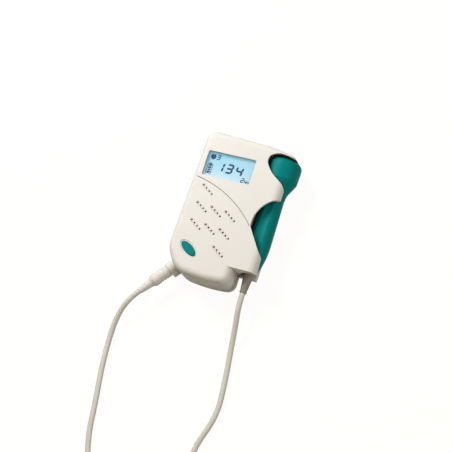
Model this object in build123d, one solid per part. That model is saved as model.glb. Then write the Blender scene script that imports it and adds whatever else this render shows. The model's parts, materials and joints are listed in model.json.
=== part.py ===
from build123d import *
import os
from math import asin, atan, cos, degrees, pi, radians, sin, sqrt, tan

# Pocket fetal heart monitor: a moulded two-shell case with a display, a speaker grille and a
# dock along its right side, where the hand-held ultrasound probe lies. Millimetres.
# The case lies on its back: z = 0 is the back plane and +Z points out of the front face.
# +Y runs to the display end, +X to the dock.

# ---------------------------------------------------------------- case
CASE_LEFT = -45.7          # left edge at the plug end
CASE_BOTTOM = -67.7        # lowest point of the bottom edge
DISPLAY_LEFT = 10.3        # from the left edge to the display's opening
DISPLAY_WIDTH = 45.6
DISPLAY_RIGHT = 31.0       # from the opening to the tips of the dock lobes
CASE_LENGTH = 136.5
CASE_DEPTH = 34.0
LEFT_TAPER = 3.5           # the left edge leans in this far towards the top
TOP_FALL = 2.5             # the top edge falls this far before it bends down to the hood
HOOD_BEND = 31.0           # the top edge starts to bend this far left of the lobes
HOOD_REACH = 3.6           # the hood over the probe head stands out past the lobes
HOOD_FALL = 8.6            # top left corner down to the tip of the hood
PLUG_CORNER_HIGH = 22.5    # the plug's corner is cut off from here, above the bottom edge
PLUG_CORNER_LOW = (12.6, 3.5)      # to here, from the left edge and the bottom edge
NOTCH_WIDTH = 22.9         # cord notch, from the bottom block to the tips of the lobes
NOTCH_HEIGHT = 16.6        # bottom edge up to the lower lobe
PARTING_Z = 8.0            # plane where the front and rear shells meet
WALL = 2.2
EDGE_ROUND = 6.0
LOBE_ROUND = 7.4
BACK_ROUND = 2.4
PLUG_CORNER_ROUND = 21.0
BLOCK_CORNER_ROUND = 8.0
BLOCK_RISE = 1.5           # the bottom edge rises this far to the notch
TOP_CORNER_ROUND = 8.4
FLANK_LEAN = 1.3           # the dock's side leans in this far from the scoop to the notch
REAR_TUCK = 5.0            # the rear shell is this much narrower beside the probe
REAR_LIP = 0.7             # and reaches this much further into the cord notch
SEAM_DEPTH = 0.7
SEAM_HEIGHT = 1.1
FIT_GAP = 0.25             # between a loose piece and its seat
RUNNING_GAP = 0.08         # between a shaft and its bore

CASE_WIDTH = DISPLAY_LEFT + DISPLAY_WIDTH + DISPLAY_RIGHT
CASE_RIGHT = CASE_LEFT + CASE_WIDTH
CASE_TOP = CASE_BOTTOM + CASE_LENGTH
BLOCK_RIGHT = CASE_RIGHT - NOTCH_WIDTH
NOTCH_Y = CASE_BOTTOM + NOTCH_HEIGHT
FRONT_INNER_Z = CASE_DEPTH - WALL

# ---------------------------------------------------------------- probe and its dock
PROBE_CENTRE_X = CASE_RIGHT - 9.65
PROBE_Z = 17.8
PROBE_LEAN = 0.9          # degrees; the handle leans in towards the notch
FACE_BELOW_TOP = 10.3      # the probe's face, below the top of the case
PROBE_FACE_Y = CASE_TOP - FACE_BELOW_TOP
HEAD_RADIUS = 15.0
HEAD_BULGE = 0.3
HEAD_FACE_ROUND = 5.5
HEAD_LENGTH = 18.9         # face to the sharp rim under the head
RIM_DROP = 1.2
SHOULDER_RADIUS = 12.7
SHOULDER_DROP = 5.2        # rim to the middle of the shoulder's curve
NECK_RADIUS = 9.1
NECK_BELOW_FACE = 36.5
NECK_Y = PROBE_FACE_Y - NECK_BELOW_FACE
GRIP_RADIUS = 10.5
GRIP_BELOW_NECK = 42.0
GRIP_Y = NECK_Y - GRIP_BELOW_NECK
TAIL_RADIUS = 6.2
TAIL_ABOVE_NOTCH = 2.6
TAIL_Y = NOTCH_Y + TAIL_ABOVE_NOTCH
PROBE_WALL = 1.8
PROBE_BORE_RADIUS = 6.4
DISH_RADIUS = 14.0         # thumb dishes on the front and back of the grip
DISH_FLOOR = 8.5           # their height over the probe's axis
DISH_BELOW_NECK = 7.0
DISH_LENGTH = 42.0
DISH_TOP_Y = NECK_Y - DISH_BELOW_NECK
DISH_BOTTOM_Y = DISH_TOP_Y - DISH_LENGTH
DOCK_GAP = 0.8
DOCK_WALL = 2.0
DOCK_LEFT_X = PROBE_CENTRE_X - 10.95
HEAD_BAY_SHIFT = 4.4       # the dock's wall steps left round the head
HEAD_BAY_LENGTH = 19.5     # from the probe's face down to that step
HEAD_BAY_Y = PROBE_FACE_Y - HEAD_BAY_LENGTH
CRADLE_ABOVE_NECK = 1.0    # ribs that carry the handle, at its neck
CRADLE_ABOVE_NOTCH = 13.1  # and near its tail
CRADLE_Y = [NECK_Y + CRADLE_ABOVE_NECK, NOTCH_Y + CRADLE_ABOVE_NOTCH]
CRADLE_THICKNESS = 2.4
CRADLE_GAP = 0.3
CRADLE_REACH = 2.0         # ribs run this far past the probe's axis
LENS_RADIUS = 9.4
LENS_THICKNESS = 2.4
LENS_CROWN = 0.4
CRYSTAL_RADIUS = 9.0
CRYSTAL_THICKNESS = 1.0
CRYSTAL_SPLIT = 0.8
BACKING_THICKNESS = 6.0

# ---------------------------------------------------------------- openings in the front face
HEAD_MOUTH_LEFT = 21.3     # left of the lobes' tips
HEAD_MOUTH_BELOW_TOP = 8.6
HEAD_MOUTH_TOP = CASE_TOP - HEAD_MOUTH_BELOW_TOP
HEAD_MOUTH_LENGTH = 33.0
LOBE_TOP_Y = HEAD_MOUTH_TOP - HEAD_MOUTH_LENGTH
LOBE_LENGTH = 8.6          # upper lobe, between the mouth and the scoop
SCOOP_TOP_Y = LOBE_TOP_Y - LOBE_LENGTH
SCOOP_CORNER_DROP = 29.6   # scoop's top down to its corner
SCOOP_CORNER = (18.2, SCOOP_TOP_Y - SCOOP_CORNER_DROP)       # left of the lobes' tips, and height
SCOOP_ABOVE_NOTCH = 11.1
SCOOP_BOTTOM_Y = NOTCH_Y + SCOOP_ABOVE_NOTCH
GROOVE_WIDTH = 0.8
GROOVE_DEPTH = 0.7

# ---------------------------------------------------------------- display
DISPLAY_TOP = 20.1         # below the top edge
DISPLAY_HEIGHT = 23.4
DISPLAY_CORNER = 1.4
WINDOW_SINK = 1.5
WINDOW_FLANGE = 1.6
WINDOW_FLANGE_THICKNESS = 1.2
PANEL_MARGIN = 1.0
PANEL_THICKNESS = 1.8
BACKLIGHT_THICKNESS = 2.4
FRAME_MARGIN = 2.8
FRAME_DEPTH = 5.2
FRAME_LEG = 3.0

# ---------------------------------------------------------------- speaker and grille
SPEAKER_X = CASE_LEFT + 34.1
SPEAKER_Y = -14.0
SPEAKER_RADIUS = 20.0
SPEAKER_FLANGE = 1.3
SPEAKER_RING = 1.2
SPEAKER_RING_HEIGHT = 3.0
MAGNET_RADIUS = 10.0
MAGNET_CLEARANCE = 1.45    # between the magnet and the board
BASKET_DEPTH = 6.2
BASKET_WALL = 0.8
BASKET_HOLE_INSET = 4.0    # the basket's hole is this much smaller than the magnet
SURROUND_WIDTH = 3.0
CONE_DEPTH = 4.0
GRILLE_COLUMN = (14.0, -1.35)      # step from one group to the next to its right
GRILLE_ROW = (-0.3, -16.8)         # step down to the next row
GRILLE_FIRST = (-13.3, 26.6)       # middle of the first group, from the speaker's centre
GRILLE_GROUPS = [(0, 0), (0, 1), (1, 1), (2, 1), (0, 2), (1, 2), (2, 2), (2, 3)]
GRILLE_HOLE_RADIUS = 0.8
GRILLE_HOLE_PITCH = 3.9
GRILLE_HOLES = 4
GRILLE_ANGLE = -34.5
GRILLE_RECESS_WIDTH = 3.0
GRILLE_RECESS_DEPTH = 0.7

# ---------------------------------------------------------------- power button
BUTTON_X = CASE_LEFT + 20.7
BUTTON_Y = CASE_BOTTOM + 23.8
BUTTON_LENGTH = 17.6
BUTTON_WIDTH = 7.3
BUTTON_ANGLE = -33.0
BUTTON_PROUD = 1.0
BUTTON_TRAVEL = 1.0
BUTTON_FLANGE = 1.1
BUTTON_FLANGE_THICKNESS = 1.2
BUTTON_STEM_RADIUS = 2.0
BEZEL_WIDTH = 1.5
BEZEL_DEPTH = 0.4
SWITCH_SIZE = 6.0
SWITCH_HEIGHT = 3.4
SWITCH_PLUNGER_RADIUS = 1.75
SWITCH_PLUNGER_HEIGHT = 0.5

# ---------------------------------------------------------------- battery compartment and door
CELL_RADIUS = 7.1
CELL_LENGTH = 49.2
CELL_NUB_RADIUS = 2.7
CELL_NUB_HEIGHT = 1.3
CELL_SHOULDER = 0.6
CELL_PITCH = 14.8
CELL_SIDE_GAP = 0.3
DOOR_SINK = 0.3
DOOR_THICKNESS = 1.9
DOOR_TONGUE = 1.2          # how far the door's side tongues reach into their grooves
DOOR_TONGUE_THICKNESS = 0.9
DOOR_TRAVEL = 60.0
COMPARTMENT_X = SPEAKER_X
COMPARTMENT_WALL = 1.6
COMPARTMENT_BOTTOM = CASE_BOTTOM + 8.4
CONTACT_THICKNESS = 0.4
CONTACT_SIZE = 11.0
SPRING_WIRE_RADIUS = 0.35
SPRING_RADIUS = 3.6
SPRING_TOP_RADIUS = 2.2
SPRING_TURNS = 3
SPRING_LENGTH = 4.7        # between a cell and its contact plate
COMPARTMENT_LENGTH = CELL_LENGTH + CELL_NUB_HEIGHT + SPRING_LENGTH + 2 * CONTACT_THICKNESS
CEILING_THICKNESS = 1.4

# ---------------------------------------------------------------- circuit board and side controls
BOARD_THICKNESS = 1.6
BOARD_MARGIN = 1.0
WHEEL_RADIUS = 8.0
WHEEL_THICKNESS = 3.0
WHEEL_BELOW_DISPLAY = 17.3
WHEEL_PROUD = 0.5
WHEEL_KNURLS = 24
WHEEL_BORE_RADIUS = 1.5
WHEEL_TURN = 270.0
POT_SIZE = 10.0
POT_HEIGHT = 2.2
JACK_BELOW_WHEEL = 20.0
JACK_BORE_RADIUS = 1.8
JACK_BORE_DEPTH = 14.0
JACK_NOSE_RADIUS = 3.0
JACK_WIDTH = 7.0
JACK_LENGTH = 12.0
JACK_HEIGHT = 6.6
PROCESSOR_SIZE = 12.0
PROCESSOR_RISE = 1.0       # its middle above the display's
CHIP_THICKNESS = 1.6
DRIVER_SIZE = (5.0, 6.0)
DRIVER_PLACE = (12.5, -1.0)        # from the middle of the display
AMPLIFIER_SIZE = 8.0
AMPLIFIER_DROP = 36.0      # below the middle of the speaker
CAPACITOR_RADIUS = 3.0
CAPACITOR_HEIGHT = 6.5
CAPACITOR_PLACE = (14.0, -28.0)    # from the middle of the speaker
CAPACITOR_PITCH = 7.5
SCREW_HEAD_RADIUS = 2.8
SCREW_HEAD_HEIGHT = 1.9
SCREW_HEAD_CHAMFER = 0.5
SCREW_RECESS = (3.2, 0.7, 0.8)     # length, width and depth of each arm of the cross
SCREW_SHANK_RADIUS = 1.4
SCREW_LENGTH = 13.0
SCREW_SINK = 1.3
REAR_BOSS_RADIUS = 4.2
FRONT_BOSS_RADIUS = 3.2
POST_RADIUS = 2.4

# ---------------------------------------------------------------- probe socket and plug
SOCKET_ANGLE = 231.0       # the socket looks out of the bottom left corner
SOCKET_END = (CASE_LEFT + 3.4, CASE_BOTTOM + 5.0)
SOCKET_Z = 15.0
NOSE_RADIUS = 6.1
NOSE_BOTTOM = 5.4
NOSE_ROUND = 1.6
SOCKET_BORE_RADIUS = 4.6
SOCKET_DEPTH = 12.0
SOCKET_SLEEVE = 1.4        # wall of the tube that carries the socket inside the case
SOCKET_INSERT_LENGTH = 3.6
SOCKET_PINS = 4
PIN_RADIUS = 0.45
PIN_CIRCLE_RADIUS = 1.9
PIN_LENGTH = 4.2
PLUG_SHIELD_RADIUS = 4.4
PLUG_SHIELD_WALL = 0.6
PLUG_SHIELD_LENGTH = 8.0
PLUG_GRIP_RADIUS = 5.6
PLUG_GRIP_LENGTH = 19.0
PLUG_RINGS = 3             # finger grooves round the grip
PLUG_RING_START = 6.0
PLUG_RING_PITCH = 2.6
PLUG_RING_WIDTH = 1.2
PLUG_RING_DEPTH = 0.5
PLUG_BOOT_LENGTH = 13.0
PLUG_TRAVEL = 14.0

# ---------------------------------------------------------------- cord
CORD_DIAMETER = 5.0
GLAND_LENGTH = 18.8
GLAND_ROOT_RADIUS = 4.8
GLAND_TIP_RADIUS = 3.0
PROBE_LEAD_WAY = [
    (31.2, -96.0, 11.0), (31.8, -116.5, 4.4), (35.0, -144.0, 2.6), (37.5, -176.0, 2.7),
]
PLUG_LEAD_WAY = [
    (-78.0, -113.0, 8.4), (-80.5, -134.0, 3.2), (-78.5, -162.0, 2.6), (-73.5, -193.0, 2.7),
    (-70.0, -223.0, 2.6),
]
LEAD_OUT = 12.0            # first straight run, out of the strain relief and out of the plug
LEAD_IN = 26.0             # last straight run, into the coil
COIL_CENTRE = (-2.0, -260.0)
COIL_RADIUS = 28.0
COIL_BUNDLE_RADIUS = 6.8
COIL_Z = 8.0
COIL_TAIL = 26.0           # straight tails, clear of the bundle
COIL_PLUG_HEADING = (0.8, -0.6)
TIE_WALL = 0.9
TIE_WIDTH = 5.0
TIE_ANGLE = 100.0
CORD_RADIUS = CORD_DIAMETER / 2

# Heights inside the case, from the back up
DOOR_TOP_Z = DOOR_SINK + DOOR_THICKNESS
CELL_Z = DOOR_TOP_Z + FIT_GAP + CELL_RADIUS
CEILING_Z = CELL_Z + CELL_RADIUS + CELL_SIDE_GAP
BOARD_Z = CEILING_Z + CEILING_THICKNESS
BOARD_TOP_Z = BOARD_Z + BOARD_THICKNESS

DISPLAY_X = CASE_LEFT + DISPLAY_LEFT + DISPLAY_WIDTH / 2
DISPLAY_Y = CASE_TOP - DISPLAY_TOP - DISPLAY_HEIGHT / 2
WHEEL_Y = DISPLAY_Y - DISPLAY_HEIGHT / 2 - WHEEL_BELOW_DISPLAY
JACK_Y = WHEEL_Y - JACK_BELOW_WHEEL
MAGNET_HEIGHT = FRONT_INNER_Z - BASKET_DEPTH - MAGNET_CLEARANCE - BOARD_TOP_Z
WINDOW_FLANGE_Z = FRONT_INNER_Z - WINDOW_FLANGE_THICKNESS
PANEL_Z = WINDOW_FLANGE_Z - PANEL_THICKNESS


# ---------------------------------------------------------------- helpers
def left_edge_x(y):
    """X of the case's leaning left side at height y."""
    return CASE_LEFT + LEFT_TAPER * (y - CASE_BOTTOM) / CASE_LENGTH


def prism(face, low, high):
    """A plan face raised from z = low to z = high."""
    return extrude(Pos(0, 0, low) * face, amount=high - low, dir=(0, 0, 1))


def slot_face(length, width, angle, x, y):
    """A straight-sided oval with round ends, by its overall length."""
    return Pos(x, y) * Rot(0, 0, angle) * SlotOverall(length, width)


def ellipse_face(length, width, grow, angle, x, y):
    return Pos(x, y) * Rot(0, 0, angle) * Ellipse(length / 2 + grow, width / 2 + grow)


def turned(points, place=None):
    """Solid of revolution about Y from (radius, height) corners."""
    face = make_face(Polyline(*points, close=True))
    solid = revolve(face, Axis.Y)
    return place * solid if place else solid


def upright(x, y, radius, low, high):
    """A round post on the case's plan."""
    return Pos(x, y, (low + high) / 2) * Cylinder(radius, high - low)


def block(x_range, y_range, z_range):
    """A box from its limits."""
    size = [high - low for low, high in (x_range, y_range, z_range)]
    middle = [(high + low) / 2 for low, high in (x_range, y_range, z_range)]
    return Pos(*middle) * Box(*size)


# ---------------------------------------------------------------- case outline
def case_outline(tuck=0.0, lip=0.0):
    """Plan outline of the case. tuck draws the dock side in, lip lowers the notch."""
    right = CASE_RIGHT - tuck
    foot = right - FLANK_LEAN
    notch = NOTCH_Y - lip
    top_left = (left_edge_x(CASE_TOP), CASE_TOP)
    bend = (CASE_RIGHT - HOOD_BEND, CASE_TOP - TOP_FALL)
    hood_tip = (CASE_RIGHT + HOOD_REACH - tuck / 2, CASE_TOP - HOOD_FALL)
    high = (left_edge_x(CASE_BOTTOM + PLUG_CORNER_HIGH), CASE_BOTTOM + PLUG_CORNER_HIGH)
    low = (CASE_LEFT + PLUG_CORNER_LOW[0], CASE_BOTTOM + PLUG_CORNER_LOW[1])
    block_corner = (BLOCK_RIGHT, CASE_BOTTOM + BLOCK_RISE)
    flank_top = (right, SCOOP_TOP_Y)
    top = Line(top_left, bend)
    flank = Line((foot, notch), flank_top)
    sides = [
        top,
        TangentArc(bend, hood_tip, tangent=top % 1),
        TangentArc(flank_top, hood_tip, tangent=flank % 1),
        flank,
        Line((foot, notch), (BLOCK_RIGHT, notch)),
        Line((BLOCK_RIGHT, notch), block_corner),
        ThreePointArc(block_corner, (0.0, CASE_BOTTOM), low),
        Line(low, high),
        Line(high, top_left),
    ]
    face = make_face(Curve() + sides)
    for corner, radius in (
        (high, PLUG_CORNER_ROUND),
        (low, PLUG_CORNER_ROUND),
        (block_corner, BLOCK_CORNER_ROUND),
        (top_left, TOP_CORNER_ROUND),
    ):
        vertex = face.vertices().sort_by_distance(corner + (0,))[0]
        face = fillet(vertex, radius)
    return face


def inner_outline(outline, inset=WALL):
    return offset(outline, -inset, kind=Kind.INTERSECTION)


def front_edges(solid, high, lobes, inset):
    """Edges of the front face that get rounded: the lobes' side or all the others."""
    limit = CASE_RIGHT - FLANK_LEAN - inset - 1
    edges = []
    for edge in solid.edges().filter_by_position(Axis.Z, high - 0.01, high + 0.01):
        middle = edge @ 0.5
        at_notch = abs(middle.Y - NOTCH_Y) < inset + 0.5 and middle.X > BLOCK_RIGHT
        on_lobes = middle.X > limit
        rounded_over = not lobes and middle.X > limit - LOBE_ROUND and middle.Y < LOBE_TOP_Y
        if on_lobes == lobes and not at_notch and not rounded_over:
            edges.append(edge)
    return edges


def rounded_case(outline, low, high, inset=0.0):
    """The case's outer or inner form, rounded along the front edges but not at the notch."""
    solid = prism(outline, low, high)
    solid = fillet(front_edges(solid, high, True, inset), LOBE_ROUND - inset)
    return fillet(front_edges(solid, high, False, inset), EDGE_ROUND - inset)


def dock_side(shift):
    """Plan area right of the dock's inner wall, moved by shift."""
    wall_x = DOCK_LEFT_X + shift
    head_x = wall_x - HEAD_BAY_SHIFT
    far = 4 * CASE_WIDTH
    step = HEAD_BAY_SHIFT * 1.6
    return make_face(Polyline(
        (wall_x, -far), (wall_x, HEAD_BAY_Y - step), (head_x, HEAD_BAY_Y),
        (head_x, far), (far, far), (far, -far), close=True,
    ))


# ---------------------------------------------------------------- probe outline
def probe_place():
    return Pos(PROBE_CENTRE_X, 0, PROBE_Z) * Rot(0, 0, -PROBE_LEAN)


def probe_half(grow=0.0, tail=0.0):
    """Half outline of the probe, (radius, height). grow widens it, tail runs it on below."""
    face_y = PROBE_FACE_Y + grow
    rim_y = PROBE_FACE_Y - HEAD_LENGTH
    crown = (HEAD_RADIUS + grow, face_y)
    rim = (HEAD_RADIUS + grow, rim_y - grow)
    cheek = (HEAD_RADIUS + HEAD_BULGE + grow, (face_y + rim_y) / 2)
    under = (HEAD_RADIUS - 0.6 + grow, rim_y - RIM_DROP - grow)
    shoulder = (SHOULDER_RADIUS + grow, rim_y - SHOULDER_DROP - grow)
    waist = (NECK_RADIUS + 0.7 + grow, NECK_Y + 5.8)
    neck = (NECK_RADIUS + grow, NECK_Y)
    grip = (GRIP_RADIUS + grow, GRIP_Y)
    tail_point = (TAIL_RADIUS + grow, TAIL_Y)
    neck_line = Line(neck, grip)
    lines = [
        Line((0, face_y), crown),
        ThreePointArc(crown, cheek, rim),
        Line(rim, under),
        Spline(under, shoulder, waist, neck, tangents=[(-0.3, -1), (-0.12, -1)]),
        neck_line,
        TangentArc(grip, tail_point, tangent=neck_line % 1),
        Line((TAIL_RADIUS + grow, TAIL_Y - tail), (0, TAIL_Y - tail)),
        Line((0, TAIL_Y - tail), (0, face_y)),
    ]
    if tail:
        lines.append(Line(tail_point, (TAIL_RADIUS + grow, TAIL_Y - tail)))
    face = make_face(Curve() + lines)
    edge = face.vertices().sort_by_distance(crown + (0,))[0]
    return fillet(edge, HEAD_FACE_ROUND + grow)


def handle_radius(y):
    """The handle's radius at height y, below the neck."""
    slope = (GRIP_RADIUS - NECK_RADIUS) / (NECK_Y - GRIP_Y)
    if y > GRIP_Y:
        return GRIP_RADIUS - slope * (y - GRIP_Y)
    run = GRIP_Y - y
    whole = GRIP_Y - TAIL_Y
    bend = (GRIP_RADIUS + slope * whole - TAIL_RADIUS) / whole ** 2
    return GRIP_RADIUS + slope * run - bend * run ** 2


def dock_passage():
    """The way the probe needs: its own form grown by a gap, swept out to the right."""
    tail = NOTCH_Y - CASE_BOTTOM
    low_half = Rot(0, 90, 0) * probe_half(DOCK_GAP, tail)
    resting = revolve(low_half, Axis.Y, 180)
    way_out = extrude(low_half, amount=CASE_WIDTH, dir=(1, 0, 0))
    way_out += mirror(way_out, Plane.XY)
    return probe_place() * (resting + way_out)


# ---------------------------------------------------------------- front shell
def head_mouth():
    """Opening in the front face over the probe's head, out to the right."""
    tip, top = CASE_RIGHT, HEAD_MOUTH_TOP
    left = tip - HEAD_MOUTH_LEFT
    far = CASE_RIGHT + CASE_WIDTH
    brow = (tip + 2.7, top - 2.2)
    crown = (tip - 10.1, top)
    temple = (left + 1.1, top - 3.9)
    cheek = (left + 0.9, top - 11.4)
    chin = (tip - 12.1, top - 21.0)
    jaw = (tip - 3.9, top - 26.6)
    lobe = (tip + 0.2, LOBE_TOP_Y)
    lines = [
        Line((far, top - 8.0), brow),
        ThreePointArc(brow, (tip - 3.9, top - 0.6), crown),
        ThreePointArc(crown, (left + 6.2, top - 0.8), temple),
        ThreePointArc(temple, (left, top - 7.2), cheek),
        ThreePointArc(cheek, (left + 5.4, top - 17.5), chin),
        Line(chin, jaw),
        ThreePointArc(jaw, (tip - 1.4, top - 29.2), lobe),
        Line(lobe, (far, LOBE_TOP_Y)),
        Line((far, LOBE_TOP_Y), (far, top - 8.0)),
    ]
    return prism(make_face(Curve() + lines), PROBE_Z, 2 * CASE_DEPTH)


def scoop_mouth():
    """Finger scoop in the front face beside the grip, between the two lobes."""
    tip = CASE_RIGHT
    far = CASE_RIGHT + CASE_WIDTH
    top = (tip + 0.2, SCOOP_TOP_Y)
    corner = (tip - SCOOP_CORNER[0], SCOOP_CORNER[1])
    bottom = (tip - 2.2, SCOOP_BOTTOM_Y + 5.4)
    low = (tip + 0.2, SCOOP_BOTTOM_Y)
    middle = (tip - 11.8, (SCOOP_TOP_Y + SCOOP_CORNER[1]) / 2 + 6.9)
    lines = [
        ThreePointArc(top, middle, corner),
        Line(corner, bottom),
        ThreePointArc(bottom, (tip - 0.4, SCOOP_BOTTOM_Y + 2.4), low),
        Line(low, (far, SCOOP_BOTTOM_Y)),
        Line((far, SCOOP_BOTTOM_Y), (far, SCOOP_TOP_Y)),
        Line((far, SCOOP_TOP_Y), top),
    ]
    return prism(make_face(Curve() + lines), PROBE_Z, 2 * CASE_DEPTH)


def face_groove():
    """Fine curved groove across the front face, from the left edge to the scoop's corner."""
    corner = (CASE_RIGHT - SCOOP_CORNER[0] - 0.6, SCOOP_CORNER[1])
    start = (left_edge_x(23.0) + 1.4, 23.0)
    middle = (SPEAKER_X + 7.2, 10.4)
    arc = ThreePointArc(start, middle, corner)
    band = trace(arc, GROOVE_WIDTH)
    return prism(band, CASE_DEPTH - GROOVE_DEPTH, CASE_DEPTH + 1)


def grille_centres():
    """Middle of each group of holes on the front face."""
    for column, row in GRILLE_GROUPS:
        x = SPEAKER_X + GRILLE_FIRST[0] + column * GRILLE_COLUMN[0] + row * GRILLE_ROW[0]
        y = SPEAKER_Y + GRILLE_FIRST[1] + column * GRILLE_COLUMN[1] + row * GRILLE_ROW[1]
        yield x, y


def louvre(x, y, run):
    """Oblong recess whose floor slants from the front face down to its lower left side."""
    width, depth = GRILLE_RECESS_WIDTH, GRILLE_RECESS_DEPTH
    length = run + width
    oval = prism(slot_face(length, width, GRILLE_ANGLE, x, y), CASE_DEPTH - 2 * depth, CASE_DEPTH + 1)
    slant = Rot(degrees(asin(depth / width)), 0, 0) * Pos(0, 0, length / 2) * Box(2 * length, 2 * length, length)
    return oval & Pos(x, y, CASE_DEPTH) * Rot(0, 0, GRILLE_ANGLE) * Pos(0, width / 2, 0) * slant


def grille_cuts():
    """Slanting louvred recesses, each with its row of sound holes."""
    cuts = []
    run = (GRILLE_HOLES - 1) * GRILLE_HOLE_PITCH
    for x, y in grille_centres():
        cuts.append(louvre(x, y, run))
        for hole in range(GRILLE_HOLES):
            along = hole * GRILLE_HOLE_PITCH - run / 2
            hole_x = x + along * cos(radians(GRILLE_ANGLE))
            hole_y = y + along * sin(radians(GRILLE_ANGLE))
            cuts.append(upright(hole_x, hole_y, GRILLE_HOLE_RADIUS, FRONT_INNER_Z - 1, CASE_DEPTH + 1))
    return cuts


def button_cuts():
    """Shallow bezel and the through hole for the power button."""
    oval = (BUTTON_LENGTH, BUTTON_WIDTH)
    place = (BUTTON_ANGLE, BUTTON_X, BUTTON_Y)
    bezel = ellipse_face(*oval, BEZEL_WIDTH, *place)
    hole = ellipse_face(*oval, FIT_GAP, *place)
    return [
        prism(bezel, CASE_DEPTH - BEZEL_DEPTH, CASE_DEPTH + 1),
        prism(hole, FRONT_INNER_Z - 1, CASE_DEPTH + 1),
    ]


def button_guide():
    """Collar under the front wall round the button's flange."""
    oval = (BUTTON_LENGTH, BUTTON_WIDTH)
    place = (BUTTON_ANGLE, BUTTON_X, BUTTON_Y)
    inner = BUTTON_FLANGE + CELL_SIDE_GAP
    ring = ellipse_face(*oval, inner + 1.2, *place) - ellipse_face(*oval, inner, *place)
    return prism(ring, FRONT_INNER_Z - BUTTON_TRAVEL - 2.6, FRONT_INNER_Z)


def screw_places():
    """The four case screws, at the corners of the electronics bay."""
    top = CASE_TOP - 8.6
    dock = DOCK_LEFT_X - DOCK_WALL
    return [
        (left_edge_x(top) + 6.2, top),
        (dock - HEAD_BAY_SHIFT - 4.8, top - 1.8),
        (left_edge_x(NOTCH_Y) + 7.4, CASE_BOTTOM + 31.0),
        (BLOCK_RIGHT - 7.0, CASE_BOTTOM + 9.6),
    ]


def socket_place():
    """Frame on the socket's axis: origin at its mouth, local +Y out of the case."""
    return Pos(SOCKET_END[0], SOCKET_END[1], SOCKET_Z) * Rot(0, 0, SOCKET_ANGLE - 90)


def socket_nose():
    """The corner block that carries the probe socket: straight sides and a half-round top."""
    radius = NOSE_RADIUS
    arch = Circle(radius) + Pos(0, (NOSE_BOTTOM - SOCKET_Z) / 2) * Rectangle(2 * radius, SOCKET_Z - NOSE_BOTTOM)
    nose = extrude(Rot(90, 0, 0) * arch, amount=SOCKET_DEPTH, dir=(0, -1, 0))
    nose = fillet(nose.faces().sort_by(Axis.Z)[0].edges().filter_by(Axis.Y), NOSE_ROUND)
    return socket_place() * nose


def socket_sleeve():
    """Tube inside the corner that holds the socket's insert."""
    radius = SOCKET_BORE_RADIUS + SOCKET_SLEEVE
    return turned([(0, 0), (radius, 0), (radius, -SOCKET_DEPTH), (0, -SOCKET_DEPTH)], socket_place())


def socket_bore():
    radius = SOCKET_BORE_RADIUS
    return turned([(0, 1), (radius, 1), (radius, -SOCKET_DEPTH - 8), (0, -SOCKET_DEPTH - 8)], socket_place())


def cradle_ribs(low, high):
    """Ribs across the dock with a round seat for the handle, open to the right."""
    ribs = []
    for rib_y in CRADLE_Y:
        axis_x = PROBE_CENTRE_X + rib_y * tan(radians(PROBE_LEAN))
        half = CRADLE_THICKNESS / 2
        seat = max(handle_radius(rib_y - half), handle_radius(rib_y + half)) + CRADLE_GAP
        rib = block((DOCK_LEFT_X - 1, axis_x + CRADLE_REACH), (rib_y - half, rib_y + half), (low, high))
        round_seat = Pos(axis_x, rib_y, PROBE_Z) * Rot(90, 0, 0) * Cylinder(seat, 3 * half)
        way_out = block((axis_x, axis_x + CASE_WIDTH), (rib_y - 2 * half, rib_y + 2 * half),
                        (PROBE_Z - seat, PROBE_Z + seat))
        ribs.append(rib - round_seat - way_out)
    return ribs


def above_parting():
    far = 4 * CASE_LENGTH
    return block((-far, far), (-far, far), (PARTING_Z, far))


def under_handle():
    """Room under the handle, where the front shell has no side wall."""
    far = 2 * CASE_WIDTH
    return block((DOCK_LEFT_X, far), (CASE_BOTTOM, PROBE_FACE_Y), (0, PROBE_Z))


def seam_groove(outline):
    """Fine reveal line round the case just above the parting plane."""
    ring = offset(outline, 1.0, kind=Kind.INTERSECTION) - offset(outline, -SEAM_DEPTH, kind=Kind.INTERSECTION)
    return prism(ring, PARTING_Z - 1, PARTING_Z + SEAM_HEIGHT)


def wheel_place():
    return left_edge_x(WHEEL_Y) - WHEEL_PROUD + WHEEL_RADIUS, WHEEL_Y


def wheel_slot():
    """Slot in the left wall for the thumbwheel."""
    x, y = wheel_place()
    z = BOARD_TOP_Z + POT_HEIGHT
    return upright(x, y, WHEEL_RADIUS + 2.5 * FIT_GAP, z - 2 * FIT_GAP, z + WHEEL_THICKNESS + 2 * FIT_GAP)


def front_shell():
    outline = case_outline()
    shell = rounded_case(outline, PARTING_Z, CASE_DEPTH)
    shell += socket_nose() & above_parting()
    inner = rounded_case(inner_outline(outline), PARTING_Z - 5, FRONT_INNER_Z, WALL)
    bay = inner - prism(dock_side(-DOCK_WALL), 0, CASE_DEPTH)
    dock = inner & prism(dock_side(0), 0, CASE_DEPTH)
    shell = shell - bay - dock - under_handle()
    fills = [
        prism(slot_ring(), FRONT_INNER_Z - SPEAKER_RING_HEIGHT, FRONT_INNER_Z),
        button_guide(),
        socket_sleeve() & prism(outline, PARTING_Z, CASE_DEPTH),
    ]
    for x, y in screw_places():
        fills.append(upright(x, y, FRONT_BOSS_RADIUS, PARTING_Z, FRONT_INNER_Z))
    shell += fills
    ribs = cradle_ribs(PARTING_Z, FRONT_INNER_Z)
    shell += [rib & rounded_case(outline, PARTING_Z, CASE_DEPTH) for rib in ribs]
    shell = shell - dock_passage() - head_mouth() - scoop_mouth()
    shell -= seam_groove(outline)
    shell -= [face_groove(), socket_bore(), wheel_slot()]
    shell -= grille_cuts() + button_cuts()
    shell -= display_opening()
    shell -= jack_hole()
    for x, y in screw_places():
        end = SCREW_SINK + SCREW_HEAD_HEIGHT + SCREW_LENGTH
        shell -= upright(x, y, SCREW_SHANK_RADIUS + RUNNING_GAP, 0, end + 1)
    return shell


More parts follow.
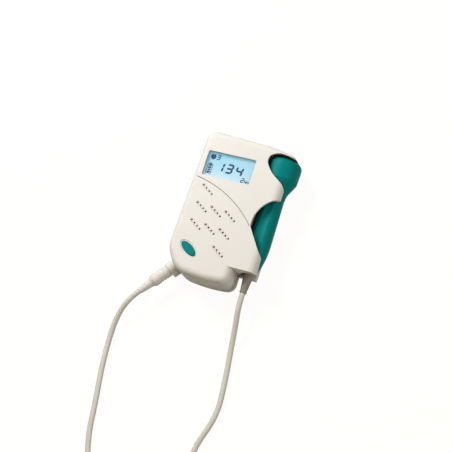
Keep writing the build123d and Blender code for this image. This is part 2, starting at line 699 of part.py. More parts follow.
def slot_ring():
    """Ring rib that centres the speaker."""
    outer = Circle(SPEAKER_RADIUS + FIT_GAP + SPEAKER_RING)
    inner = Circle(SPEAKER_RADIUS + FIT_GAP)
    return Pos(SPEAKER_X, SPEAKER_Y) * (outer - inner)


def display_opening():
    face = Pos(DISPLAY_X, DISPLAY_Y) * RectangleRounded(DISPLAY_WIDTH, DISPLAY_HEIGHT, DISPLAY_CORNER)
    return prism(face, FRONT_INNER_Z - 1, CASE_DEPTH + 1)


def jack_z():
    return BOARD_TOP_Z + JACK_NOSE_RADIUS + 0.2


def jack_hole():
    x = left_edge_x(JACK_Y)
    radius = JACK_NOSE_RADIUS + RUNNING_GAP
    return Pos(x, JACK_Y, jack_z()) * Rot(0, 90, 0) * Cylinder(radius, 3 * WALL)


# ---------------------------------------------------------------- rear shell
def door_section(grow):
    """Cross-section of the battery door and its grooves, grown by a gap."""
    half = compartment_half() + COMPARTMENT_WALL + 0.8
    tongue = half + DOOR_TONGUE
    top = DOOR_TOP_Z + grow
    low = top - DOOR_TONGUE_THICKNESS - 2 * grow
    points = [
        (-half - grow, -1), (half + grow, -1), (half + grow, low), (tongue + grow, low),
        (tongue + grow, top), (-tongue - grow, top), (-tongue - grow, low), (-half - grow, low),
    ]
    face = make_face(Polyline(*points, close=True))
    return Pos(COMPARTMENT_X, 0, 0) * Rot(90, 0, 0) * face


def compartment_half():
    return CELL_PITCH / 2 + CELL_RADIUS + CELL_SIDE_GAP


def compartment_top():
    return COMPARTMENT_BOTTOM + COMPARTMENT_LENGTH


def rear_outline():
    return case_outline(REAR_TUCK, REAR_LIP)


def rear_body():
    """Outer form of the rear shell."""
    body = prism(rear_outline(), 0, PARTING_Z)
    return fillet(body.faces().sort_by(Axis.Z)[0].edges(), BACK_ROUND)


def rear_shell():
    outline = rear_outline()
    shell = rear_body() + (socket_nose() - above_parting())
    inner = prism(inner_outline(outline), WALL, PARTING_Z + 1)
    bay = inner - prism(dock_side(-DOCK_WALL), 0, CASE_DEPTH)
    dock = inner & prism(dock_side(0), 0, CASE_DEPTH)
    shell = shell - bay - dock
    half = compartment_half()
    wall = COMPARTMENT_WALL
    rail = half + wall + DOOR_TONGUE + 2.4
    low, high = COMPARTMENT_BOTTOM - wall, compartment_top() + wall
    rails = block((COMPARTMENT_X - rail, COMPARTMENT_X + rail), (CASE_BOTTOM + WALL / 2, high + 1.6),
                  (0, DOOR_TOP_Z + 2.2))
    shell += rails & rear_body()
    shell += block((COMPARTMENT_X - half - wall, COMPARTMENT_X + half + wall), (low, high), (WALL, BOARD_Z))
    for x, y in screw_places():
        shell += upright(x, y, REAR_BOSS_RADIUS, 1, PARTING_Z) & rear_body()
    for x, y in board_posts():
        shell += upright(x, y, POST_RADIUS, 1, BOARD_Z)
    shell += cradle_ribs(1, PARTING_Z)
    shell -= block((COMPARTMENT_X - half, COMPARTMENT_X + half), (COMPARTMENT_BOTTOM, compartment_top()),
                   (-1, CEILING_Z))
    slot = extrude(door_section(FIT_GAP), amount=CASE_LENGTH, dir=(0, -1, 0))
    shell -= Pos(0, high + FIT_GAP, 0) * slot
    shell -= dock_passage()
    for x, y in screw_places():
        shell -= upright(x, y, SCREW_HEAD_RADIUS + FIT_GAP, -1, SCREW_SINK + SCREW_HEAD_HEIGHT)
        shell -= upright(x, y, SCREW_SHANK_RADIUS + FIT_GAP, -1, PARTING_Z + 1)
    return shell


def board_posts():
    """Posts of the rear shell that carry the display end of the board."""
    return [(DISPLAY_X - DISPLAY_WIDTH / 2, DISPLAY_Y), (DISPLAY_X + DISPLAY_WIDTH / 2, DISPLAY_Y)]


# ---------------------------------------------------------------- battery door and cells
def battery_door():
    """Sliding door with side tongues and a ribbed thumb grip; it runs out of the bottom end."""
    high = compartment_top() + COMPARTMENT_WALL
    plate = Pos(0, high, 0) * extrude(door_section(0), amount=CASE_LENGTH, dir=(0, -1, 0))
    door = plate & rear_body()
    reach = (-CASE_LENGTH, CASE_LENGTH)
    door -= block(reach, reach, (-DOOR_SINK, DOOR_SINK))
    for rib in range(5):
        y = COMPARTMENT_BOTTOM + 4.0 + 2.6 * rib
        door -= Pos(COMPARTMENT_X, y, DOOR_SINK) * Rot(0, 90, 0) * Cylinder(0.5, 18.0 - 1.6 * abs(rib - 2))
    return door


def cell_centres():
    """X of each cell and the direction of its positive end."""
    return [(COMPARTMENT_X - CELL_PITCH / 2, 1), (COMPARTMENT_X + CELL_PITCH / 2, -1)]


def battery_cell(x, facing):
    """AA cell along Y, its positive nub against the contact plate on that side."""
    middle = COMPARTMENT_BOTTOM + COMPARTMENT_LENGTH / 2
    nub_end = COMPARTMENT_LENGTH / 2 - CONTACT_THICKNESS
    top = nub_end - CELL_NUB_HEIGHT
    profile = [
        (0, nub_end), (CELL_NUB_RADIUS, nub_end), (CELL_NUB_RADIUS, top), (CELL_RADIUS - CELL_SHOULDER, top),
        (CELL_RADIUS, top - CELL_SHOULDER), (CELL_RADIUS, top - CELL_LENGTH + CELL_SHOULDER),
        (CELL_RADIUS - CELL_SHOULDER, top - CELL_LENGTH), (0, top - CELL_LENGTH),
    ]
    cell = turned(profile)
    if facing < 0:
        cell = Rot(0, 0, 180) * cell
    return Pos(x, middle, CELL_Z) * cell


def battery_contacts():
    """Contact plates at both ends of the compartment."""
    plates = []
    half = CONTACT_SIZE / 2
    for x, _ in cell_centres():
        for y in (COMPARTMENT_BOTTOM, compartment_top() - CONTACT_THICKNESS):
            tall = (CELL_Z - half, CELL_Z + half)
            plates.append(block((x - half, x + half), (y, y + CONTACT_THICKNESS), tall))
    return plates


def battery_springs():
    """Conical coil springs at the cells' negative ends."""
    springs = []
    height = SPRING_LENGTH - 2 * SPRING_WIRE_RADIUS
    cone = degrees(atan((SPRING_RADIUS - SPRING_TOP_RADIUS) / height))
    for x, facing in cell_centres():
        coil = Helix(pitch=height / SPRING_TURNS, height=height, radius=SPRING_RADIUS, cone_angle=-cone)
        start = coil @ 0
        section = Plane(origin=start, z_dir=coil % 0) * Circle(SPRING_WIRE_RADIUS)
        wire = sweep(section, path=coil)
        if facing > 0:
            place = Pos(x, COMPARTMENT_BOTTOM + CONTACT_THICKNESS + SPRING_WIRE_RADIUS, CELL_Z) * Rot(-90, 0, 0)
        else:
            place = Pos(x, compartment_top() - CONTACT_THICKNESS - SPRING_WIRE_RADIUS, CELL_Z) * Rot(90, 0, 0)
        springs.append(place * wire)
    return springs


# ---------------------------------------------------------------- display
def display_window():
    """Clear lens: a pad that fills the opening and a flange behind the front wall."""
    pad = RectangleRounded(DISPLAY_WIDTH - 2 * FIT_GAP, DISPLAY_HEIGHT - 2 * FIT_GAP, DISPLAY_CORNER)
    flange = Rectangle(DISPLAY_WIDTH + 2 * WINDOW_FLANGE, DISPLAY_HEIGHT + 2 * WINDOW_FLANGE)
    place = Pos(DISPLAY_X, DISPLAY_Y)
    return prism(place * flange, WINDOW_FLANGE_Z, FRONT_INNER_Z) + prism(
        place * pad, FRONT_INNER_Z, CASE_DEPTH - WINDOW_SINK)


def display_rect(margin, low, high):
    face = Rectangle(DISPLAY_WIDTH + 2 * margin, DISPLAY_HEIGHT + 2 * margin)
    return prism(Pos(DISPLAY_X, DISPLAY_Y) * face, low, high)


def display_panel():
    return display_rect(PANEL_MARGIN, PANEL_Z, WINDOW_FLANGE_Z)


def display_backlight():
    return display_rect(PANEL_MARGIN - 0.6, PANEL_Z - BACKLIGHT_THICKNESS, PANEL_Z)


def display_frame():
    """Open frame that carries the panel and its backlight on four legs."""
    base = WINDOW_FLANGE_Z - FRAME_DEPTH
    frame = display_rect(FRAME_MARGIN, base, WINDOW_FLANGE_Z)
    frame -= display_rect(PANEL_MARGIN, PANEL_Z, WINDOW_FLANGE_Z + 1)
    frame -= display_rect(PANEL_MARGIN - 0.6, PANEL_Z - BACKLIGHT_THICKNESS, PANEL_Z + 1)
    half_x = DISPLAY_WIDTH / 2 + FRAME_MARGIN - FRAME_LEG
    half_y = DISPLAY_HEIGHT / 2 + FRAME_MARGIN - FRAME_LEG
    for side in (-1, 1):
        for end in (-1, 1):
            x, y = DISPLAY_X + side * half_x, DISPLAY_Y + end * half_y
            frame += upright(x, y, FRAME_LEG / 2, BOARD_TOP_Z, base)
    return frame


# ---------------------------------------------------------------- circuit board
def main_board():
    """Board over the battery compartment, cut round the screw bosses and the socket."""
    face = inner_outline(case_outline(), WALL + BOARD_MARGIN)
    board = prism(face, BOARD_Z, BOARD_TOP_Z) - prism(dock_side(-DOCK_WALL - BOARD_MARGIN), 0, CASE_DEPTH)
    for x, y in screw_places():
        board -= upright(x, y, FRONT_BOSS_RADIUS + FIT_GAP, 0, CASE_DEPTH)
    radius = SOCKET_BORE_RADIUS + SOCKET_SLEEVE + FIT_GAP
    clear = prism(Pos(*SOCKET_END) * Rot(0, 0, SOCKET_ANGLE - 90) * Rectangle(
        2 * radius, 2 * (SOCKET_DEPTH + FIT_GAP)), 0, CASE_DEPTH)
    return board - clear


def chip(x, y, width, length):
    """One flat package on the board, round its middle."""
    return block((x - width / 2, x + width / 2), (y - length / 2, y + length / 2),
                 (BOARD_TOP_Z, BOARD_TOP_Z + CHIP_THICKNESS))


def board_chips():
    """Main parts soldered on the board, round the speaker and under the display."""
    top = BOARD_TOP_Z
    chips = [
        chip(DISPLAY_X, DISPLAY_Y + PROCESSOR_RISE, PROCESSOR_SIZE, PROCESSOR_SIZE),
        chip(DISPLAY_X + DRIVER_PLACE[0], DISPLAY_Y + DRIVER_PLACE[1], *DRIVER_SIZE),
        chip(SPEAKER_X, SPEAKER_Y - AMPLIFIER_DROP, AMPLIFIER_SIZE, AMPLIFIER_SIZE),
    ]
    for row in range(2):
        y = SPEAKER_Y + CAPACITOR_PLACE[1] - row * CAPACITOR_PITCH
        chips.append(upright(SPEAKER_X + CAPACITOR_PLACE[0], y, CAPACITOR_RADIUS, top, top + CAPACITOR_HEIGHT))
    return chips


def button_switch():
    """Tactile switch under the power button."""
    half = SWITCH_SIZE / 2
    top = BOARD_TOP_Z + SWITCH_HEIGHT
    body = block((BUTTON_X - half, BUTTON_X + half), (BUTTON_Y - half, BUTTON_Y + half), (BOARD_TOP_Z, top))
    return body + upright(BUTTON_X, BUTTON_Y, SWITCH_PLUNGER_RADIUS, top, top + SWITCH_PLUNGER_HEIGHT)


def power_button():
    """Oval crowned key with a retaining flange and a stem down to its switch."""
    oval = (BUTTON_LENGTH, BUTTON_WIDTH)
    place = (BUTTON_ANGLE, BUTTON_X, BUTTON_Y)
    top = CASE_DEPTH + BUTTON_PROUD
    cap = prism(ellipse_face(*oval, 0, *place), FRONT_INNER_Z - 2 * FIT_GAP, top)
    cap = fillet(cap.faces().sort_by(Axis.Z)[-1].edges(), 0.8)
    flange_top = FRONT_INNER_Z - FIT_GAP
    flange = prism(ellipse_face(*oval, BUTTON_FLANGE, *place), flange_top - BUTTON_FLANGE_THICKNESS, flange_top)
    stem_low = BOARD_TOP_Z + SWITCH_HEIGHT + SWITCH_PLUNGER_HEIGHT + BUTTON_TRAVEL + 0.15
    return cap + flange + upright(BUTTON_X, BUTTON_Y, BUTTON_STEM_RADIUS, stem_low, flange_top - 0.5)


def volume_wheel():
    """Knurled thumbwheel with a bore for the potentiometer's shaft."""
    x, y = wheel_place()
    low = BOARD_TOP_Z + POT_HEIGHT + FIT_GAP
    wheel = upright(0, 0, WHEEL_RADIUS, 0, WHEEL_THICKNESS - 2 * FIT_GAP)
    wheel = chamfer(wheel.edges().filter_by(GeomType.CIRCLE), 0.4)
    for knurl in range(WHEEL_KNURLS):
        notch = Rot(0, 0, 360 * knurl / WHEEL_KNURLS) * Pos(WHEEL_RADIUS + 0.25, 0, 0)
        wheel -= notch * upright(0, 0, 0.6, -1, WHEEL_THICKNESS + 1)
    wheel -= upright(0, 0, WHEEL_BORE_RADIUS + RUNNING_GAP, -1, WHEEL_THICKNESS + 1)
    return Pos(x, y, low) * wheel


def volume_control():
    """Potentiometer on the board with the fixed shaft that the wheel turns on."""
    x, y = wheel_place()
    half = POT_SIZE / 2
    top = BOARD_TOP_Z + POT_HEIGHT
    body = block((x - half, x + half), (y - half, y + half), (BOARD_TOP_Z, top))
    return body + upright(x, y, WHEEL_BORE_RADIUS, top, top + WHEEL_THICKNESS + 0.6)


def edge_inset(z):
    """How far the case's rounded front edge draws the inner wall in at height z."""
    reach = EDGE_ROUND - WALL
    rise = max(0.0, z - (FRONT_INNER_Z - reach))
    return reach - sqrt(reach ** 2 - rise ** 2)


def headphone_jack():
    """Board-mounted jack; its nose fills the hole in the left wall and its bore is blind."""
    mouth = left_edge_x(JACK_Y)
    back = mouth + WALL + FIT_GAP + edge_inset(BOARD_TOP_Z + JACK_HEIGHT)
    half = JACK_WIDTH / 2
    tall = (BOARD_TOP_Z, BOARD_TOP_Z + JACK_HEIGHT)
    body = block((back, back + JACK_LENGTH), (JACK_Y - half, JACK_Y + half), tall)
    length = back - mouth + 1
    nose = Pos(mouth + length / 2, JACK_Y, jack_z()) * Rot(0, 90, 0) * Cylinder(JACK_NOSE_RADIUS, length)
    depth = JACK_BORE_DEPTH
    bore = Pos(mouth + depth / 2, JACK_Y, jack_z()) * Rot(0, 90, 0) * Cylinder(JACK_BORE_RADIUS, depth)
    return body + nose - bore


def case_screws():
    """Pan-head screws that close the case from the back."""
    screws = []
    for x, y in screw_places():
        top = SCREW_SINK + SCREW_HEAD_HEIGHT
        head = upright(x, y, SCREW_HEAD_RADIUS, SCREW_SINK, top)
        head = chamfer(head.edges().filter_by(GeomType.CIRCLE).sort_by(Axis.Z)[0], SCREW_HEAD_CHAMFER)
        length, width, depth = SCREW_RECESS
        head -= [Pos(x, y, SCREW_SINK) * Rot(0, 0, turn) * Box(length, width, 2 * depth) for turn in (0, 90)]
        screws.append(head + upright(x, y, SCREW_SHANK_RADIUS, top, top + SCREW_LENGTH))
    return screws


# ---------------------------------------------------------------- speaker
def speaker_place():
    return Pos(SPEAKER_X, SPEAKER_Y, FRONT_INNER_Z) * Rot(90, 0, 0)


def speaker_basket():
    """Pressed basket: flange against the front wall and a cone down to the magnet."""
    outer, flange, wall, depth = SPEAKER_RADIUS, SPEAKER_FLANGE, BASKET_WALL, BASKET_DEPTH
    rim, hole = outer - SURROUND_WIDTH, MAGNET_RADIUS - BASKET_HOLE_INSET
    return turned([
        (rim, 0), (outer, 0), (outer, -flange), (rim + wall + 0.2, -flange),
        (MAGNET_RADIUS + wall + 0.2, -depth), (hole, -depth), (hole, -depth + wall),
        (MAGNET_RADIUS + 0.4, -depth + wall), (rim, -flange - wall),
    ], speaker_place())


def speaker_cone():
    """Paper cone with a rolled surround and a dust cap."""
    rim, paper = SPEAKER_RADIUS - SURROUND_WIDTH - 0.04, SPEAKER_FLANGE / 2
    neck, cap = SPEAKER_RADIUS / 4, CONE_DEPTH - 0.3
    return turned([
        (rim, -paper), (rim, -2 * paper + 0.2), (rim - SURROUND_WIDTH, -2 * paper - 0.3),
        (neck + 0.2, -CONE_DEPTH - 0.6), (0, -cap - 0.5), (0, -cap), (neck, -CONE_DEPTH),
        (rim - SURROUND_WIDTH, -2 * paper + 0.2),
    ], speaker_place())


def speaker_magnet():
    low = -BASKET_DEPTH - MAGNET_HEIGHT
    edge = min(0.6, MAGNET_HEIGHT / 3)
    return turned([
        (0, -BASKET_DEPTH), (MAGNET_RADIUS - edge, -BASKET_DEPTH), (MAGNET_RADIUS, -BASKET_DEPTH - edge),
        (MAGNET_RADIUS, low + edge), (MAGNET_RADIUS - edge, low), (0, low),
    ], speaker_place())


# ---------------------------------------------------------------- probe
def probe_hollow():
    """Inside of the probe: a wide bay behind the lens and a bore down the handle."""
    face, wall = PROBE_FACE_Y, PROBE_WALL
    head = HEAD_RADIUS - wall
    rim = PROBE_FACE_Y - HEAD_LENGTH
    bore, end = PROBE_BORE_RADIUS, TAIL_Y + PROBE_WALL
    tail = TAIL_RADIUS - wall + 0.4
    return turned([
        (0, face + 1), (LENS_RADIUS + 0.1, face + 1), (LENS_RADIUS + 0.1, face - LENS_THICKNESS),
        (head - 1.6, face - LENS_THICKNESS), (head - 1.6, face - LENS_THICKNESS - 2),
        (head, face - LENS_THICKNESS - 3.6), (head, rim), (bore, NECK_Y + 7),
        (bore, TAIL_Y + 14), (tail, TAIL_Y + 4.4), (tail, end), (0, end),
    ])


def thumb_dish():
    """Long shallow dish, rounded at its ends, in the front of the grip."""
    radius, height = DISH_RADIUS, DISH_FLOOR + DISH_RADIUS
    straight = DISH_TOP_Y - DISH_BOTTOM_Y
    middle = (DISH_TOP_Y + DISH_BOTTOM_Y) / 2
    dish = Pos(0, middle, height) * Rot(90, 0, 0) * Cylinder(radius, straight)
    for y in (DISH_TOP_Y, DISH_BOTTOM_Y):
        dish += Pos(0, y, height) * Sphere(radius)
    return dish


def probe_body():
    """Whole probe body before it is split, in the probe's own frame."""
    body = revolve(probe_half(), Axis.Y)
    dish = thumb_dish()
    body = body - dish - mirror(dish, Plane.XY)
    body -= probe_hollow()
    neck = GLAND_TIP_RADIUS + 0.6 + RUNNING_GAP
    return body - turned([(0, TAIL_Y + 5), (neck, TAIL_Y + 5), (neck, TAIL_Y - 5), (0, TAIL_Y - 5)])


def probe_shell(side):
    """Front (side 1) or back (side -1) half of the probe, with a fine reveal at the seam."""
    far = 2 * HEAD_RADIUS
    reveal = 0.12
    keep = block((-far, far), (TAIL_Y - 1, PROBE_FACE_Y + 1), (reveal, far))
    if side < 0:
        keep = mirror(keep, Plane.XY)
    return probe_place() * (probe_body() & keep)


def probe_lens():
    """Acoustic lens that closes the head's face, slightly crowned."""
    top, low = PROBE_FACE_Y + 0.15, PROBE_FACE_Y - LENS_THICKNESS
    disc = turned([(0, top), (LENS_RADIUS, top), (LENS_RADIUS, low), (0, low)])
    ball = LENS_RADIUS ** 2 / (2 * LENS_CROWN)
    return probe_place() * (disc & Pos(0, top - ball, 0) * Sphere(ball))


def probe_crystals():
    """Transmitting and receiving half discs behind the lens."""
    top = PROBE_FACE_Y - LENS_THICKNESS
    low = top - CRYSTAL_THICKNESS
    disc = turned([(0, top), (CRYSTAL_RADIUS, top), (CRYSTAL_RADIUS, low), (0, low)])
    half = CRYSTAL_SPLIT / 2
    disc -= block((-half, half), (top - 2, top + 1), (-CRYSTAL_RADIUS, CRYSTAL_RADIUS))
    return probe_place() * disc


def probe_backing():
    """Absorber behind the crystals, seated in the head."""
    top = PROBE_FACE_Y - LENS_THICKNESS - CRYSTAL_THICKNESS
    radius = HEAD_RADIUS - PROBE_WALL - 1.6 - FIT_GAP
    low = top - BACKING_THICKNESS
    return probe_place() * turned([(0, top), (radius, top), (radius, low), (0, low)])


def probe_board():
    """Preamplifier board in the handle."""
    half = PROBE_BORE_RADIUS - 0.5
    top = PROBE_FACE_Y - LENS_THICKNESS - CRYSTAL_THICKNESS - BACKING_THICKNESS
    board = block((-half, half), (TAIL_Y + 16, top), (-0.8, 0.8))
    chip = block((-3, 3), (-6, 4), (0.8, 2.2))
    return probe_place() * (board + chip)


def probe_gland():
    """Tapered strain relief, held by a flange inside the probe's tail."""
    flange_top = TAIL_Y + PROBE_WALL + 2.2
    neck = GLAND_TIP_RADIUS + 0.6
    flange = TAIL_RADIUS - PROBE_WALL + 0.2
    end = TAIL_Y - GLAND_LENGTH
    return probe_place() * turned([
        (0, flange_top), (flange, flange_top), (flange, TAIL_Y + PROBE_WALL), (neck, TAIL_Y + PROBE_WALL),
        (neck, TAIL_Y), (GLAND_ROOT_RADIUS, TAIL_Y), (GLAND_ROOT_RADIUS, TAIL_Y - 1.6),
        (GLAND_TIP_RADIUS, end + 1.4), (GLAND_TIP_RADIUS + 0.35, end + 1.0),
        (GLAND_TIP_RADIUS + 0.35, end), (0, end),
    ])


# ---------------------------------------------------------------- socket and plug
def socket_insert():
    """Insulator at the bottom of the socket's bore, with its contact pins."""
    low = -SOCKET_DEPTH
    top = low + SOCKET_INSERT_LENGTH
    insert = turned([(0, top), (SOCKET_BORE_RADIUS, top), (SOCKET_BORE_RADIUS, low), (0, low)])
    return socket_place() * insert


def pin_places():
    for pin in range(SOCKET_PINS):
        angle = 2 * pi * pin / SOCKET_PINS + pi / SOCKET_PINS
        yield PIN_CIRCLE_RADIUS * cos(angle), PIN_CIRCLE_RADIUS * sin(angle)


def socket_pins():
    top = -SOCKET_DEPTH + SOCKET_INSERT_LENGTH
    pins = []
    for x, z in pin_places():
        pin = Pos(x, top + PIN_LENGTH / 2, z) * Rot(90, 0, 0) * Cylinder(PIN_RADIUS, PIN_LENGTH)
        pins.append(socket_place() * pin)
    return pins


def plug_shield():
    """Metal nose of the plug: a tube that enters the socket."""
    outer, inner = PLUG_SHIELD_RADIUS, PLUG_SHIELD_RADIUS - PLUG_SHIELD_WALL
    end = -PLUG_SHIELD_LENGTH
    return turned([(inner, 0), (outer, 0), (outer, end), (inner, end)], socket_place())


def plug_insert():
    """Insulator inside the shield, with a hole for each pin."""
    radius = PLUG_SHIELD_RADIUS - PLUG_SHIELD_WALL
    low = -PLUG_SHIELD_LENGTH + 0.4
    insert = turned([(0, FIT_GAP), (radius, FIT_GAP), (radius, low), (0, low)])
    depth = PIN_LENGTH + 0.6
    for x, z in pin_places():
        hole = Rot(90, 0, 0) * Cylinder(PIN_RADIUS + RUNNING_GAP, depth + 1)
        insert -= Pos(x, low + depth / 2 - 0.5, z) * hole
    return socket_place() * insert


def plug_grip():
    """Grip of the plug with finger rings, and its flexible boot down to the cord."""
    radius = PLUG_GRIP_RADIUS
    start, end = FIT_GAP, FIT_GAP + PLUG_GRIP_LENGTH
    grip = turned([
        (0, start), (radius - 0.6, start), (radius, start + 0.6), (radius, end - 2.4),
        (radius - 1.2, end), (0, end),
    ])
    for ring in range(PLUG_RINGS):
        y = start + PLUG_RING_START + PLUG_RING_PITCH * ring
        low, high = y - PLUG_RING_WIDTH / 2, y + PLUG_RING_WIDTH / 2
        floor = radius - PLUG_RING_DEPTH
        grip -= turned([(floor, low), (radius + 1, low), (radius + 1, high), (floor, high)])
    return socket_place() * grip


def plug_boot():
    start = FIT_GAP + PLUG_GRIP_LENGTH
    end = start + PLUG_BOOT_LENGTH
    return turned([
        (0, start), (PLUG_GRIP_RADIUS - 1.6, start), (GLAND_TIP_RADIUS + 0.1, end - 0.8),
        (GLAND_TIP_RADIUS, end), (0, end),
    ], socket_place())


# ---------------------------------------------------------------- cord
def gland_end():
    """Where the cord leaves the probe's strain relief."""
    return (probe_place() * Pos(0, TAIL_Y - GLAND_LENGTH, 0)).position


def plug_end():
    """Where the cord leaves the plug's boot."""
    return (socket_place() * Pos(0, FIT_GAP + PLUG_GRIP_LENGTH + PLUG_BOOT_LENGTH, 0)).position


def coil_ends():
    """Free ends of the coil's two tails: towards the probe and towards the plug."""
    x, y = COIL_CENTRE
    right = Vector(x + COIL_RADIUS, y + COIL_TAIL, CORD_RADIUS + 0.1)
    heading = Vector(*COIL_PLUG_HEADING, 0)
    touch = Vector(x + heading.Y * COIL_RADIUS, y - heading.X * COIL_RADIUS, CORD_RADIUS + 0.1)
    return right, touch - heading * COIL_TAIL


def route_to_probe():
    """Points of the lead from the strain relief to the coil."""
    start, end = gland_end(), coil_ends()[0]
    out = Vector(0, -1, 0).rotate(Axis.Z, -PROBE_LEAN)
    way = [Vector(*point) for point in PROBE_LEAD_WAY]
    return [start, start + out * LEAD_OUT, *way, end + Vector(0, LEAD_IN, 0), end]


def route_to_plug():
    """Points of the lead from the plug to the coil."""
    start, end = plug_end(), coil_ends()[1]
    out = Vector(1, 0, 0).rotate(Axis.Z, SOCKET_ANGLE)
    back = Vector(*COIL_PLUG_HEADING, 0) * -LEAD_IN
    way = [Vector(*point) for point in PLUG_LEAD_WAY]
    return [start, start + out * LEAD_OUT, *way, end + back, end]


def route_radii(points):
    """Largest arc that fits each corner of a route."""
    radii = []
    for before, here, after in zip(points, points[1:], points[2:]):
        turn = radians((here - before).get_angle(after - here))
        shorter = min((here - before).length, (after - here).length)
        radii.append(0.45 * shorter / tan(turn / 2))
    return radii


def cord_tube(name, points):
    """Round cord along its route: straight runs joined by tangent arcs."""
    radii = route_radii(points)
    path = FilletPolyline(*points, radius=radii)
    section = Plane(origin=points[0], z_dir=path % 0) * Circle(CORD_RADIUS)
    tube = sweep(section, path=path)
    print(name, "radii", [round(r, 1) for r in radii], "length", round(path.length, 1),
          "volume / (section x length)", round(tube.volume / (pi * CORD_RADIUS ** 2 * path.length), 4))
    return tube


def cord_coil():
    """Outer form of the tied coil with its two straight tails."""
    x, y = COIL_CENTRE
    ring = Pos(x, y, COIL_Z) * Rot(0, 0, 80) * Torus(COIL_RADIUS, COIL_BUNDLE_RADIUS)
    right, left = coil_ends()
    heading = Vector(*COIL_PLUG_HEADING, 0)
    return ring + tail_solid(right, Vector(0, -1, 0)) + tail_solid(left, heading)


def tail_solid(end, way):
    section = Plane(origin=end, z_dir=way) * Circle(CORD_RADIUS)
    return extrude(section, amount=COIL_TAIL, dir=way)


def cord_tie():
    """Strap round the bundle."""
    x, y = COIL_CENTRE
    angle = radians(TIE_ANGLE)
    inner = COIL_BUNDLE_RADIUS + 0.1
    ring = Cylinder(inner + TIE_WALL, TIE_WIDTH) - Cylinder(inner, TIE_WIDTH + 1)
    bend = COIL_RADIUS - sqrt(COIL_RADIUS ** 2 - (TIE_WIDTH / 2) ** 2)
    place = Pos(x + (COIL_RADIUS - bend / 2) * cos(angle), y + (COIL_RADIUS - bend / 2) * sin(angle), COIL_Z)
    return place * Rot(0, 0, TIE_ANGLE) * Rot(90, 0, 0) * ring


# ---------------------------------------------------------------- all nodes
def build():
    cells = [battery_cell(x, facing) for x, facing in cell_centres()]
    return {
        "front_shell": front_shell(),
        "rear_shell": rear_shell(),
        "display_window": display_window(),
        "display_panel": display_panel(),
        "display_backlight": display_backlight(),
        "display_frame": display_frame(),
        "main_board": main_board(),
        "board_chips": board_chips(),
        "button_switch": button_switch(),
        "power_button": power_button(),
        "volume_control": volume_control(),
        "volume_wheel": volume_wheel(),
        "headphone_jack": headphone_jack(),
        "speaker_basket": speaker_basket(),
        "speaker_cone": speaker_cone(),
        "speaker_magnet": speaker_magnet(),
        "battery_cell_left": cells[0],
        "battery_cell_right": cells[1],
        "battery_contacts": battery_contacts(),
        "battery_springs": battery_springs(),
        "battery_door": battery_door(),
        "case_screws": case_screws(),
        "socket_insert": socket_insert(),
        "socket_pins": socket_pins(),
        "probe_front_shell": probe_shell(1),
        "probe_rear_shell": probe_shell(-1),
        "probe_lens": probe_lens(),
        "probe_crystals": probe_crystals(),
        "probe_backing": probe_backing(),
        "probe_board": probe_board(),
        "probe_gland": probe_gland(),
        "plug_shield": plug_shield(),
        "plug_insert": plug_insert(),
        "plug_grip": plug_grip(),
        "plug_boot": plug_boot(),
        "cord_probe_lead": cord_tube("cord_probe_lead", route_to_probe()),
        "cord_plug_lead": cord_tube("cord_plug_lead", route_to_plug()),
        "cord_coil": cord_coil(),
        "cord_tie": cord_tie(),
    }


def write_parts():
    os.makedirs("parts", exist_ok=True)
    for name, shape in build().items():
        solids = shape if isinstance(shape, list) else [shape]
        whole = Compound(children=[s for one in solids for s in one.solids()])
        export_step(whole, f"parts/{name}.step")


write_parts()
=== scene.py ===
import json
from math import cos, exp, pi, radians, sin

import bmesh
import bpy
from mathutils import Matrix, Vector


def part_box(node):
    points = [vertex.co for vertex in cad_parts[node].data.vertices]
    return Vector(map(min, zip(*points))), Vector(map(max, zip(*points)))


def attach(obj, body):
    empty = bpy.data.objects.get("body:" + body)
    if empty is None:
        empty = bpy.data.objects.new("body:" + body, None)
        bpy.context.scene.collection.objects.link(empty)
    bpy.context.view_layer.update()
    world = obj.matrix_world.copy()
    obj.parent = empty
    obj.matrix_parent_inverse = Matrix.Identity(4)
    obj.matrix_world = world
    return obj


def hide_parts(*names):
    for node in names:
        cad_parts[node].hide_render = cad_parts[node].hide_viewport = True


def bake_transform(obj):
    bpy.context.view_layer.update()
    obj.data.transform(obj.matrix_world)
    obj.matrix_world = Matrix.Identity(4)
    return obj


# Pocket fetal heart monitor: the finish of every part, the figures on its display, its lead and
# the studio. Metres, in the frame of the CAD model: +Z out of the front face, +Y to the display
# end. The figures on the display and the lead's route are given in millimetres.
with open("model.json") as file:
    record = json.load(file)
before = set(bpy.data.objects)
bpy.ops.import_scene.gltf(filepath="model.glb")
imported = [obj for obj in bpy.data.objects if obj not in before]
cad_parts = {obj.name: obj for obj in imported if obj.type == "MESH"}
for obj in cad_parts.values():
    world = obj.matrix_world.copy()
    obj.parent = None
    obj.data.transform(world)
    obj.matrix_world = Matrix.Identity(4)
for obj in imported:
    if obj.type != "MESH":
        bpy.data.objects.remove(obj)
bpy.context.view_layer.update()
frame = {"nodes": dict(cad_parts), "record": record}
nodes = frame["nodes"]

MM = 0.001

# ---------------------------------------------------------------- camera
IMAGE_SIZE = 452
CAMERA_AZIMUTH = 52.895         # degrees
CAMERA_ELEVATION = 67.091
CAMERA_ROLL = 18.093
CAMERA_DISTANCE = 1.4
CAMERA_ASIDE = -0.011058        # of the view's middle, right of and above the frame's origin
CAMERA_ABOVE = -0.004872
CAMERA_NEAR = 0.05
CAMERA_FAR = 50.0
FOCAL_LENGTH_PIXELS = 1551.93
SENSOR = 36.0

